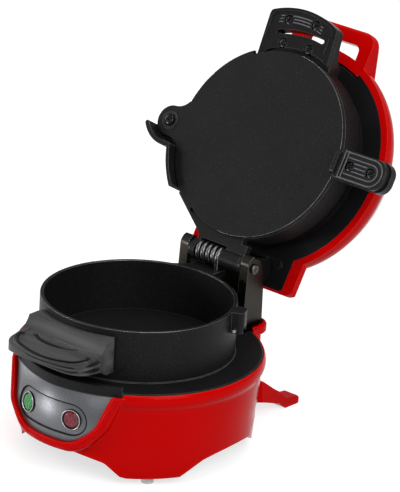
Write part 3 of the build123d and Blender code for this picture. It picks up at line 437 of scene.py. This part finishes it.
GRIP_LEFT = -25.0
GRIP_RIGHT = 30.0
GRIP_CORNER_Y = -77.0
GRIP_NOSE_Y = -82.3
GRIP_ROOT_Y = -56.6
GRIP_BEND_Y = -66.5
GRIP_FIXED_X = -19.0

TOP_GRIP_LEFT = -29.8
TOP_GRIP_RIGHT = 18.2
TOP_GRIP_CORNER_Y = -73.6
TOP_GRIP_NOSE_Y = -78.9
TOP_GRIP_FACE_Z = 88.5
TOP_SCREWS = [(-15.7, -71), (3.3, -72.4), (-13.8, -57.9), (4.3, -58.5)]

EGG_Z = 85.4
PLATE_EDGE_R = 53.7
PLATE_GRIP_FACE_Z = EGG_Z - 4.0
PLATE_GRIP_END_X = 88.0
PLATE_SCREWS = [(65.2, -3.6), (80.0, -3.6)]
PIVOT = (-64.6, 4.0)

LIGHT_Z = 36.2
LIGHT_DEGREES = 13.5


def opened(point):
    """Where a point of the closed drawing stands in the open pose."""
    return HINGE + OPEN_TURN @ (Vector(point) - HINGE)


def closed(point):
    """Where a point of the open pose stands in the closed drawing."""
    return HINGE + CLOSE_TURN @ (Vector(point) - HINGE)


def as_drawn(point):
    return Vector(point)


def steps(first, last, count):
    return [first + (last - first) * i / count for i in range(count + 1)]


def on_circle(radius, degrees):
    return radius * math.cos(math.radians(degrees)), radius * math.sin(math.radians(degrees))


# Making pieces

def add_piece(name, data, body, material):
    data.materials.clear()
    data.materials.append(material)
    piece = bpy.data.objects.new(name, data)
    scene.collection.objects.link(piece)
    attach(piece, body)
    return piece


def ribs(name, lines, radius, body, material, place=as_drawn):
    """Raised round ribs: one spline for each line of points."""
    data = bpy.data.curves.new(name, "CURVE")
    data.dimensions = "3D"
    data.bevel_depth = radius * MM
    data.bevel_resolution = 2
    data.use_fill_caps = True
    for line in lines:
        spline = data.splines.new("POLY")
        spline.points.add(len(line) - 1)
        for spot, point in zip(spline.points, line):
            spot.co = (*(place(point) * MM), 1)
    return add_piece(name, data, body, material)


def cut_round(line, centres, radius):
    """The stretches of a line of points that lie away from the centres."""
    runs, run = [], []
    for point in line:
        near = any(math.dist(point[:2], centre) < radius for centre in centres)
        if near and len(run) > 1:
            runs.append(run)
        run = [] if near else run + [point]
    return runs + [run] if len(run) > 1 else runs


def outward_mesh(name, work):
    """The mesh of a closed form, its faces turned outward."""
    bmesh.ops.recalc_face_normals(work, faces=work.faces)
    mesh = bpy.data.meshes.new(name)
    work.to_mesh(mesh)
    work.free()
    return mesh


def bar_mesh(name, rows):
    """A closed bar through rows of four corners."""
    work = bmesh.new()
    rows = [[work.verts.new(corner) for corner in row] for row in rows]
    work.faces.new(rows[0])
    work.faces.new(rows[-1])
    for row, following in zip(rows, rows[1:]):
        for i in range(4):
            j = (i + 1) % 4
            work.faces.new([row[i], row[j], following[j], following[i]])
    return outward_mesh(name, work)


def turned_mesh(profile, sides=36):
    """A mesh turned about the Z axis from points of radius and height."""
    work = bmesh.new()
    rings = []
    for radius, height in profile:
        if radius == 0:
            rings.append([work.verts.new((0, 0, height))])
            continue
        angles = [2 * math.pi * i / sides for i in range(sides)]
        rings.append([work.verts.new((radius * math.cos(a), radius * math.sin(a), height)) for a in angles])
    for low, high in zip(rings, rings[1:]):
        for i in range(sides):
            j = (i + 1) % sides
            corners = [low[i % len(low)], low[j % len(low)], high[j % len(high)], high[i % len(high)]]
            corners = list(dict.fromkeys(corners))
            if len(corners) > 2:
                work.faces.new(corners)
    return outward_mesh("turned", work)


def cut_mesh(mesh, cutters):
    """The mesh less the cutters, as a new mesh."""
    solid = bpy.data.objects.new("solid", mesh)
    scene.collection.objects.link(solid)
    tools = []
    for index, cutter in enumerate(cutters):
        tool = bpy.data.objects.new("tool_%d" % index, cutter)
        scene.collection.objects.link(tool)
        step = solid.modifiers.new("cut", "BOOLEAN")
        step.operation = "DIFFERENCE"
        step.solver = "EXACT"
        step.object = tool
        tools.append(tool)
    bpy.context.view_layer.update()
    result = bpy.data.meshes.new_from_object(solid.evaluated_get(bpy.context.evaluated_depsgraph_get()))
    for used in tools + [solid]:
        bpy.data.objects.remove(used)
    return result


# Screws

SCREW_R = 3.0
SHANK_R = 1.2
HEAD_HEIGHT = 1.6
RECESS_HALF = 0.42
RECESS_DEPTH = 1.1
RECESS_TAPER = 0.8


def recess_arm(half_x, half_y):
    """One arm of a cross recess, narrower at its floor."""
    rows = []
    for height, shrink in ((-0.5, 1.0), (RECESS_DEPTH, RECESS_TAPER)):
        corners = [(-half_x, -half_y), (half_x, -half_y), (half_x, half_y), (-half_x, half_y)]
        rows.append([(x * shrink, y * shrink, height) for x, y in corners])
    return bar_mesh("arm", rows)


def screw_mesh(length):
    """A pan head screw that points up, with a cross recess in its underside."""
    r = SCREW_R
    profile = [(0, 0), (0.6 * r, 0.05), (0.86 * r, 0.3), (r, 0.8), (r, HEAD_HEIGHT),
               (SHANK_R, HEAD_HEIGHT), (SHANK_R, length), (0, length)]
    arm = 0.62 * r
    return cut_mesh(turned_mesh(profile), [recess_arm(arm, RECESS_HALF), recess_arm(RECESS_HALF, arm)])


def screw_group(name, mesh, spots, turn):
    """One mesh of copies of a screw in the open pose, each turned a little further."""
    work = bmesh.new()
    for index, spot in enumerate(spots):
        copy = mesh.copy()
        spin = Matrix.Rotation(math.radians(turn + 31 * index), 3, "Z")
        for vertex in copy.vertices:
            vertex.co = opened(Vector(spot) + spin @ vertex.co) * MM
        work.from_mesh(copy)
        bpy.data.meshes.remove(copy)
    result = bpy.data.meshes.new(name)
    work.to_mesh(result)
    work.free()
    return result


def make_screws(looks):
    """Cross-headed screws in the handles and the pivot, in the place of the plain ones."""
    short, long = screw_mesh(5.6), screw_mesh(10.2)
    top_spots = [(x, y, TOP_GRIP_FACE_Z + 0.1) for x, y in TOP_SCREWS]
    plate_spots = [(x, y, PLATE_GRIP_FACE_Z + 0.2) for x, y in PLATE_SCREWS]
    pivot_spots = [(*PIVOT, EGG_Z - 2.1)]
    for name, node, body, slot, mesh, spots, turn in (
            ("top_handle_cross_screws", "top_ring_handle_screws", "upper_ring", "black_screws",
             short, top_spots, 20),
            ("plate_handle_cross_screws", "plate_handle_screws", "swing_plate", "black_screws",
             short, plate_spots, 20),
            ("pivot_cross_screw", "plate_pivot_screw", "upper_ring", "bright_steel",
             long, pivot_spots, 12)):
        piece = add_piece(name, screw_group(name, mesh, spots, turn), body, looks["black_steel"])
        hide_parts(node)


# Handles

def nose_y(x, left, right, corner, nose):
    """The arched front edge of a handle."""
    middle, half = (left + right) / 2, (right - left) / 2
    return corner + (nose - corner) * (1 - ((x - middle) / half) ** 2)


def front_line(left, right, corner, nose, rounding, inset, back):
    """The line a little inside a handle's outline: one side, the front and the other side."""
    r = rounding
    line = [(left + inset, y) for y in steps(back, corner + r - 1, 4)]
    for t in steps(80, 0, 5):
        x = left + r - r * math.sin(math.radians(t))
        line.append((x, nose_y(x, left, right, corner, nose) + r - r * math.cos(math.radians(t))))
    for x in steps(left + r, right - r, 16)[1:-1]:
        line.append((x, nose_y(x, left, right, corner, nose)))
    for t in steps(0, 80, 5):
        x = right - r + r * math.sin(math.radians(t))
        line.append((x, nose_y(x, left, right, corner, nose) + r - r * math.cos(math.radians(t))))
    line += [(right - inset, y) for y in steps(corner + r - 1, back, 4)]
    middle, half = (left + right) / 2, (right - left) / 2
    return [(middle + (x - middle) * (1 - inset / half), y + inset) for x, y in line]


def circle_through(a, b, c):
    """Middle and radius of the circle through three points of a plane."""
    ax, ay, bx, by = b[0] - a[0], b[1] - a[1], c[0] - a[0], c[1] - a[1]
    d = 2 * (ax * by - ay * bx)
    first, second = ax ** 2 + ay ** 2, bx ** 2 + by ** 2
    ux, uy = (by * first - ay * second) / d, (ax * second - bx * first) / d
    return a[0] + ux, a[1] + uy, math.hypot(ux, uy)


GRIP_HOLLOW = circle_through((GRIP_ROOT_Y, 80.2), (-60.4, 76.0), (GRIP_BEND_Y, 74.0))
GRIP_CROWN = circle_through((GRIP_BEND_Y, 74.0), (-75.5, 73.0), (-82.2, 70.6))


def grip_top(y):
    """Height of the lower handle's upper face at y."""
    hollow = y > GRIP_BEND_Y
    middle, height, radius = GRIP_HOLLOW if hollow else GRIP_CROWN
    rise = math.sqrt(max(radius ** 2 - (y - middle) ** 2, 0))
    return height - rise if hollow else height + rise


def grip_under(y):
    """Height of the lower handle's underside at y."""
    return 69.3 - 0.6 * (y + 83) if y < -80 else 67.5 - (y + 80) / 9.0


def grip_edge_line(share, inset, back):
    """A line round the lower handle's edge, at a share of its height from the top."""
    plan = front_line(GRIP_LEFT, GRIP_RIGHT, GRIP_CORNER_Y, GRIP_NOSE_Y, 7, inset, back)
    return [(x, y, grip_top(y) * (1 - share) + grip_under(y) * share) for x, y in plan]


def bottom_handle_ribs(looks):
    """Three ribs stacked along the lower handle's front edge, with dark lines of painted shade between them,
    and a lighter line of painted highlight across the upper face.
    """
    proud = [grip_edge_line(*line) for line in ((0.0, 1.0, -63), (0.45, 0.0, -63), (0.92, 0.3, -63))]
    ribs("bottom_handle_ribs", proud, 0.8, "base", looks["grip"])
    # Painted shade in the grooves between the ribs.
    sunk = [grip_edge_line(*line) for line in ((-0.1, 2.4, -71.5), (0.22, 0.1, -64), (0.68, -0.1, -64))]
    ribs("bottom_handle_shade_lines", sunk, 0.5, "base", looks["dark"])
    # Painted highlight: a lighter line across the upper face.
    foot = [(x, -62.8 + 1.6 * ((x - 3) / 25) ** 2) for x in steps(-4, 27, 24)]
    foot_line = [(x, y, grip_top(y)) for x, y in foot]
    ribs("bottom_handle_foot_highlight", [foot_line], 0.25, "base", looks["rib"])


def smile_groove_shade(looks):
    """Painted shade: a near-black tapered strip on the lower handle's upper face, standing in for a groove.
    """
    rows = []
    for t in steps(0.0, 1.0, 24):
        x, y = -18 + 33 * t, -64.3 - 4.4 * (1 - (2 * t - 1) ** 2)
        half = 1.3 * math.sin(math.pi * t ** 0.8) + 0.12
        corners = [(y - half, 0.1), (y + half, 0.1), (y + half, -0.8), (y - half, -0.8)]
        rows.append([Vector((x, side, grip_top(side) + up)) * MM for side, up in corners])
    mesh = bar_mesh("bottom_handle_groove_shade", rows)
    add_piece("bottom_handle_groove_shade", mesh, "base", looks["dark"])


def top_handle_ribs(looks):
    """Curved ribs between the upper screws, in a lighter plastic as painted highlight, and a raised border
    along the edge.
    """
    z = TOP_GRIP_FACE_Z - 0.05
    lines = []
    for inset in (4.5, 6.3, 8.1):
        arc = [(x, nose_y(x, TOP_GRIP_LEFT, TOP_GRIP_RIGHT, TOP_GRIP_CORNER_Y, TOP_GRIP_NOSE_Y) + inset, z)
               for x in steps(-21.5, 8.6, 60)]
        lines += cut_round(arc, TOP_SCREWS[:2], 3.6)
    ribs("top_handle_ribs", lines, 0.42, "upper_ring", looks["rib"], opened)
    edge = front_line(TOP_GRIP_LEFT + 0.4, TOP_GRIP_RIGHT - 0.3, TOP_GRIP_CORNER_Y, TOP_GRIP_NOSE_Y,
                      4.4, 1.2, -60)
    border = [(x, y, TOP_GRIP_FACE_Z) for x, y in edge]
    collar = [(*on_circle(57.6, a), z) for a in steps(-88, -72.5, 12)]
    ribs("top_handle_border", [border, collar], 0.5, "upper_ring", looks["charcoal"], opened)


def plate_handle_ribs(looks):
    """Ribs round and between the screws of the cooking plate's handle, and two across it, in a lighter
    plastic as painted highlight.
    """
    z = PLATE_GRIP_FACE_Z
    x_end, y_mid = PLATE_SCREWS[1]
    lines = []
    for radius, back, shift in ((4.6, 63.2, 0.0), (7.4, 60.4, 0.3)):
        bend = []
        for t in steps(-90, 90, 18):
            x, y = on_circle(radius, t)
            bend.append((min(x_end + shift + x, PLATE_GRIP_END_X), y_mid + y, z))
        lines.append([(back, y_mid - radius, z)] + bend + [(back, y_mid + radius, z)])
    for offset in (-2.3, 0, 2.3):
        lines += cut_round([(x, y_mid + offset, z) for x in steps(68.0, 77.0, 30)], PLATE_SCREWS, 3.5)
    for x in (59.9, 62.0):
        lines.append([(x, y_mid - 8.0, z), (x, y_mid + 8.0, z)])
    ribs("plate_handle_ribs", lines, 0.42, "swing_plate", looks["rib"], opened)


# Rims

def rim_lines(looks):
    """Bright lines along the lower ring's mouth and the cooking plate's edge: worn edges, with painted
    highlight.
    """
    rim = [[(*on_circle(radius, a), RING_RIM_Z) for a in steps(first, last, 90)]
           for radius, first, last in ((RING_RIM_OUTER_R, -200, 60), (RING_RIM_INNER_R, 0, 200))]
    ribs("ring_rim_rub_and_highlight", rim, 0.14, "base", looks["worn"])
    edge = [(*on_circle(PLATE_EDGE_R, a), EGG_Z + 0.15) for a in steps(-85, 95, 90)]
    ribs("plate_edge_rub_and_highlight", [edge], 0.14, "swing_plate", looks["worn"], opened)


# Control panel

PILL_HALF = 16.6
PILL_R = 8.8
PILL_FACE_R = 70.75
RIDGE_FACE_R = 72.3
RIDGE_RIGHT = [(39.7, 53.4), (32.2, 33.5), (19.7, 21.3)]
RIDGE_CORNER_R = 18.0
LIGHT_EDGE_R = 5.45
LIGHT_FACE_R = 71.15


def round_the_front(flat, face_r):
    """Points of x and z, laid on a round front of a given radius."""
    return [Vector((x, -math.sqrt(face_r ** 2 - x ** 2), z)) for x, z in flat]


def pill_outline(looks):
    """Painted shade: a dark line in the groove round the two lights."""
    flat = []
    for side in (1, -1):
        flat += [(x, LIGHT_Z + side * PILL_R) for x in steps(-side * PILL_HALF, side * PILL_HALF, 12)]
        for t in steps(90, -90, 14):
            out, up = on_circle(PILL_R, t)
            flat.append((side * (PILL_HALF + out), LIGHT_Z + side * up))
    line = round_the_front(flat, PILL_FACE_R)
    ribs("panel_pill_shade_line", [line], 0.4, "base", looks["dark"], wider_foot)


def rounded_path(points, radius):
    """A line through the points, its inner corners rounded."""
    points = [Vector(point) for point in points]
    path = points[:1]
    for before, corner, after in zip(points, points[1:], points[2:]):
        back, on = (before - corner).normalized(), (after - corner).normalized()
        reach = radius * math.tan((math.pi - back.angle(on)) / 2)
        first, last = corner + back * reach, corner + on * reach
        for t in steps(0, 1, 6):
            path.append(first * (1 - t) ** 2 + corner * (2 * t * (1 - t)) + last * t ** 2)
    return path + points[-1:]


def panel_ridge(looks):
    """The rolled red edge that frames the control panel."""
    flat = rounded_path([(-x, z) for x, z in RIDGE_RIGHT] + RIDGE_RIGHT[::-1], RIDGE_CORNER_R)
    line = round_the_front(flat, RIDGE_FACE_R)
    ribs("panel_ridge", [line], 1.45, "base", looks["red_plastic"], wider_foot)


def light_edges(looks):
    """The thin pale ring round each light."""
    lines = []
    for side in (-1, 1):
        turn = Matrix.Rotation(math.radians(LIGHT_DEGREES * side), 3, "Z")
        circle = []
        for a in steps(0, 360, 40):
            x, up = on_circle(LIGHT_EDGE_R, a)
            circle.append(turn @ Vector((x, -LIGHT_FACE_R, LIGHT_Z + up)))
        lines.append(circle)
    ribs("light_edges", lines, 0.3, "base", looks["pale"], wider_foot)


# Corrections of shape, shown on moved copies of the nodes' own meshes

SHARP_DEGREES = 28


def reshape(node, move, body, material):
    """A copy of a node's mesh with its points moved, shown in the node's place."""
    mesh = nodes[node].data.copy()
    for vertex in mesh.vertices:
        vertex.co = move(vertex.co / MM) * MM
    if "custom_normal" in mesh.attributes:
        mesh.attributes.remove(mesh.attributes["custom_normal"])
    mesh.shade_smooth()
    mesh.set_sharp_from_angle(angle=math.radians(SHARP_DEGREES))
    piece = add_piece(node + "_shaped", mesh, body, material)
    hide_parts(node)


def ease(value, off, full):
    """0 at off, 1 at full, and smooth between them."""
    share = min(max((value - off) / (full - off), 0), 1)
    return share * share * (3 - 2 * share)


LEFT_WAY = Vector((0.766, 0.643, 0))
LEFT_WAIST_Z = 32.0
LEFT_TOP_Z = 52.0
LEFT_IN_FOOT = 5.0
LEFT_IN_WAIST = 1.8
LEFT_IN_TOP = 4.0


def left_side_in(point):
    """The base's left side comes in a little, most at its foot."""
    x, y, z = point
    if z < LEFT_WAIST_Z:
        amount = LEFT_IN_FOOT + (LEFT_IN_WAIST - LEFT_IN_FOOT) * z / LEFT_WAIST_Z
    else:
        share = min((z - LEFT_WAIST_Z) / (LEFT_TOP_Z - LEFT_WAIST_Z), 1)
        amount = LEFT_IN_WAIST + (LEFT_IN_TOP - LEFT_IN_WAIST) * share
    return point + LEFT_WAY * (amount * ease(-LEFT_WAY.dot(point), 40, 68) * ease(math.hypot(x, y), 55, 63))


LOBE_DEGREES = 39.5
LOBE_BACK_DEGREES = 13.0
LOBE_END_Z = 4.5
LOBE_TOP_Z = 18.0
LOBE_REAR_Y = 62.0
LOBE_NARROWING = 0.11
FOOT_DISC_Z = 1.0


def lobe_back(point):
    """The foot lobe at the right rear stands further back."""
    x, y, z = point
    azimuth = math.degrees(math.atan2(y, x))
    share = ease(azimuth, -20, 25) * ease(azimuth, 92, 64) * ease(z, 30, 16) * ease(y, 68, 58)
    return Matrix.Rotation(math.radians(LOBE_BACK_DEGREES * share), 3, "Z") @ Vector(point)


def lobe_up(point):
    """The foot lobes end a little higher and narrower, so the rubber feet show."""
    x, y, z = point
    if z > LOBE_TOP_Z or y > LOBE_REAR_Y:
        return point
    middle = math.copysign(LOBE_DEGREES if x > 0 else 180 - LOBE_DEGREES, y)
    aside = math.degrees(math.atan2(y, x)) - middle
    share = LOBE_NARROWING * (1 - z / LOBE_TOP_Z)
    turn = Matrix.Rotation(math.radians(-share * aside), 3, "Z")
    return turn @ Vector((x, y, max(z, LOBE_END_Z)))


def taller_foot(point):
    """A rubber foot reaches up to the raised lobe and moves with it."""
    x, y, z = point
    if FOOT_DISC_Z < z < LOBE_END_Z:
        point = Vector((x, y, LOBE_END_Z))
    return left_side_in(lobe_back(point))


WALL_TOP_Z = 45.0
WALL_WIDENING = 0.04
LEG_FROM_Y = 80.5
LEG_FLAT_Z = 5.5
LEG_THINNING = 0.22


def wider_foot(point):
    """The red wall leans in less towards its foot, all but its rear, and the rear legs are thinner."""
    x, y, z = point
    if z < WALL_TOP_Z:
        grow = 1 + WALL_WIDENING * ease(y, 62, 50) * (WALL_TOP_Z - z) / WALL_TOP_Z
        point = Vector((x * grow, y * grow, z))
    if y > LEG_FROM_Y and z > LEG_FLAT_Z:
        thin = LEG_THINNING * ease(y, LEG_FROM_Y, 86.5)
        point = Vector((x, y, z - thin * (z - LEG_FLAT_Z)))
    return left_side_in(lobe_back(point))


def housing_move(point):
    """The red housing's whole correction: its lobes, then its wall and legs."""
    return wider_foot(lobe_up(point))


GRIP_OLD_LEFT = -30.0
GRIP_FULL_Y = GRIP_ROOT_Y - 14


def narrower_grip(point):
    """The lower handle's left side comes in, and its screw stays."""
    x, y, z = point
    if x > GRIP_FIXED_X:
        return point
    share = min(max((y - GRIP_ROOT_Y) / (GRIP_FULL_Y - GRIP_ROOT_Y), 0), 1)
    narrow = (GRIP_LEFT - GRIP_FIXED_X) / (GRIP_OLD_LEFT - GRIP_FIXED_X)
    scale = 1 - share * (1 - narrow)
    return Vector((GRIP_FIXED_X + (x - GRIP_FIXED_X) * scale, y, z))


TOP_GRIP_LENGTH = 28.6


def straighter_grip(point):
    """The upper handle's left side no longer flares towards the ring."""
    x, y, z = closed(point)
    if x > GRIP_FIXED_X or y < TOP_GRIP_CORNER_Y:
        return point
    along = (y - TOP_GRIP_CORNER_Y) / TOP_GRIP_LENGTH
    old, new = -30.2 - 3.4 * along, -29.9 + 2.6 * along
    x = GRIP_FIXED_X + (x - GRIP_FIXED_X) * (new - GRIP_FIXED_X) / (old - GRIP_FIXED_X)
    return opened((x, y, z))


CHEEK_CORNER_Z = 95.0
CHEEK_FRONT_Y = 66.5


def sloped_cheek(point):
    """The hinge bracket's cheeks lose their square top corner."""
    x, y, z = point
    if z < CHEEK_CORNER_Z or y < CHEEK_FRONT_Y:
        return point
    if y < 70:
        return Vector((x, y, 95.9))
    return Vector((x, 71.9, 93.8)) if y < 75 else Vector((x, 75.3, 84.5))


def make_shaped(looks):
    for node, move, body, look, slot in (
            ("base_housing", housing_move, "base", "red_plastic", "red_plastic"),
            ("base_bottom_cover", wider_foot, "base", "charcoal", "black_plastic"),
            ("heat_shield", wider_foot, "base", "steel", "bright_steel"),
            ("control_panel", wider_foot, "base", "panel", "panel_grey"),
            ("light_rings", wider_foot, "base", "ring", "light_ring"),
            ("ready_light_lens", wider_foot, "base", "green_lens", "green_lens"),
            ("power_light_lens", wider_foot, "base", "red_lens", "red_lens"),
            ("lower_heating_plate", left_side_in, "base", "non_stick", "non_stick"),
            ("rubber_feet", taller_foot, "base", "clear", "clear_rubber"),
            ("bottom_handle_upper", narrower_grip, "base", "grip", "black_plastic"),
            ("bottom_handle_lower", narrower_grip, "base", "grip", "black_plastic"),
            ("hinge_bracket", sloped_cheek, "base", "post", "post_steel"),
            ("top_ring_handle_upper", straighter_grip, "upper_ring", "charcoal", "black_plastic"),
            ("top_ring_handle_lower", straighter_grip, "upper_ring", "charcoal", "black_plastic"),
            ("lid_shell", as_drawn, "lid", "red_plastic", "red_plastic")):
        reshape(node, move, body, looks[look])


# Stage

FLOOR_HALF = 12.0
FLOOR_SHADE = 0.5
FLOOR_GLOW = 0.68
BACKDROP_GLOW = 0.75
WORLD_SHINE = 0.2
WORLD_LIGHT = 0.25


def floor_material():
    """A plain floor that keeps the shadow and looks pale to camera, glossy and transmission rays."""
    material = bpy.data.materials.new("stage_floor")
    material.use_nodes = True
    tree = material.node_tree
    tree.nodes.clear()
    output = add(tree, "ShaderNodeOutputMaterial")
    diffuse = add(tree, "ShaderNodeBsdfDiffuse")
    diffuse.inputs["Color"].default_value = grey(FLOOR_SHADE)
    glow = add(tree, "ShaderNodeEmission")
    glow.inputs["Color"].default_value = grey(1)
    path = add(tree, "ShaderNodeLightPath")
    seen = math_node(tree, "MAXIMUM", path.outputs["Is Camera Ray"], path.outputs["Is Glossy Ray"])
    seen = math_node(tree, "MAXIMUM", seen, path.outputs["Is Transmission Ray"])
    link(tree, math_node(tree, "MULTIPLY", seen, FLOOR_GLOW), glow.inputs["Strength"])
    both = add(tree, "ShaderNodeAddShader")
    link(tree, diffuse.outputs[0], both.inputs[0])
    link(tree, glow.outputs[0], both.inputs[1])
    link(tree, both.outputs[0], output.inputs["Surface"])
    return material


def make_stage():
    mesh = bpy.data.meshes.new("stage_floor")
    half = FLOOR_HALF
    corners = [(-half, -half, 0), (half, -half, 0), (half, half, 0), (-half, half, 0)]
    mesh.from_pydata(corners, [], [(0, 1, 2, 3)])
    mesh.materials.append(floor_material())
    floor = bpy.data.objects.new("stage_floor", mesh)
    scene.collection.objects.link(floor)


def make_world():
    world = bpy.data.worlds.new("studio")
    scene.world = world
    world.use_nodes = True
    tree = world.node_tree
    back = tree.nodes["Background"]
    back.inputs["Color"].default_value = grey(1)
    path = add(tree, "ShaderNodeLightPath")
    seen = math_node(tree, "MAXIMUM", path.outputs["Is Camera Ray"], path.outputs["Is Transmission Ray"])
    strength = math_node(tree, "MULTIPLY", seen, BACKDROP_GLOW)
    shine = math_node(tree, "MULTIPLY", path.outputs["Is Glossy Ray"], WORLD_SHINE)
    strength = math_node(tree, "ADD", math_node(tree, "ADD", strength, shine), WORLD_LIGHT)
    link(tree, strength, back.inputs["Strength"])


def area_light(name, place, target, size, power):
    data = bpy.data.lights.new(name, "AREA")
    data.shape = "RECTANGLE"
    data.size, data.size_y = size
    data.energy = power
    lamp = bpy.data.objects.new(name, data)
    lamp.location = place
    way = Vector(target) - Vector(place)
    lamp.rotation_euler = way.to_track_quat("-Z", "Y").to_euler()
    scene.collection.objects.link(lamp)


def make_lights():
    middle = (0, 0.02, 0.09)
    panel = (0, -0.07, 0.036)
    area_light("light_right", (1.15, -0.35, 0.85), middle, (0.8, 1.0), 13)
    area_light("light_left", (-1.35, -0.3, 0.7), middle, (0.5, 0.7), 6)
    area_light("light_top", (0.1, 0.2, 1.6), middle, (1.2, 1.2), 12)
    area_light("light_panel", (-0.84, -1.0, 0.13), panel, (0.36, 0.34), 8.0)
    area_light("light_strip_right", (0.9, -0.9, 1.0), middle, (0.02, 0.4), 2.4)
    area_light("light_strip_front", (0.2, -1.3, 0.9), middle, (0.4, 0.02), 1.6)


make_camera()
make_stage()
make_world()
make_lights()
looks = make_looks()
dress_frame(looks)
make_shaped(looks)
make_screws(looks)
bottom_handle_ribs(looks)
smile_groove_shade(looks)
rim_lines(looks)
top_handle_ribs(looks)
plate_handle_ribs(looks)
pill_outline(looks)
panel_ridge(looks)
light_edges(looks)
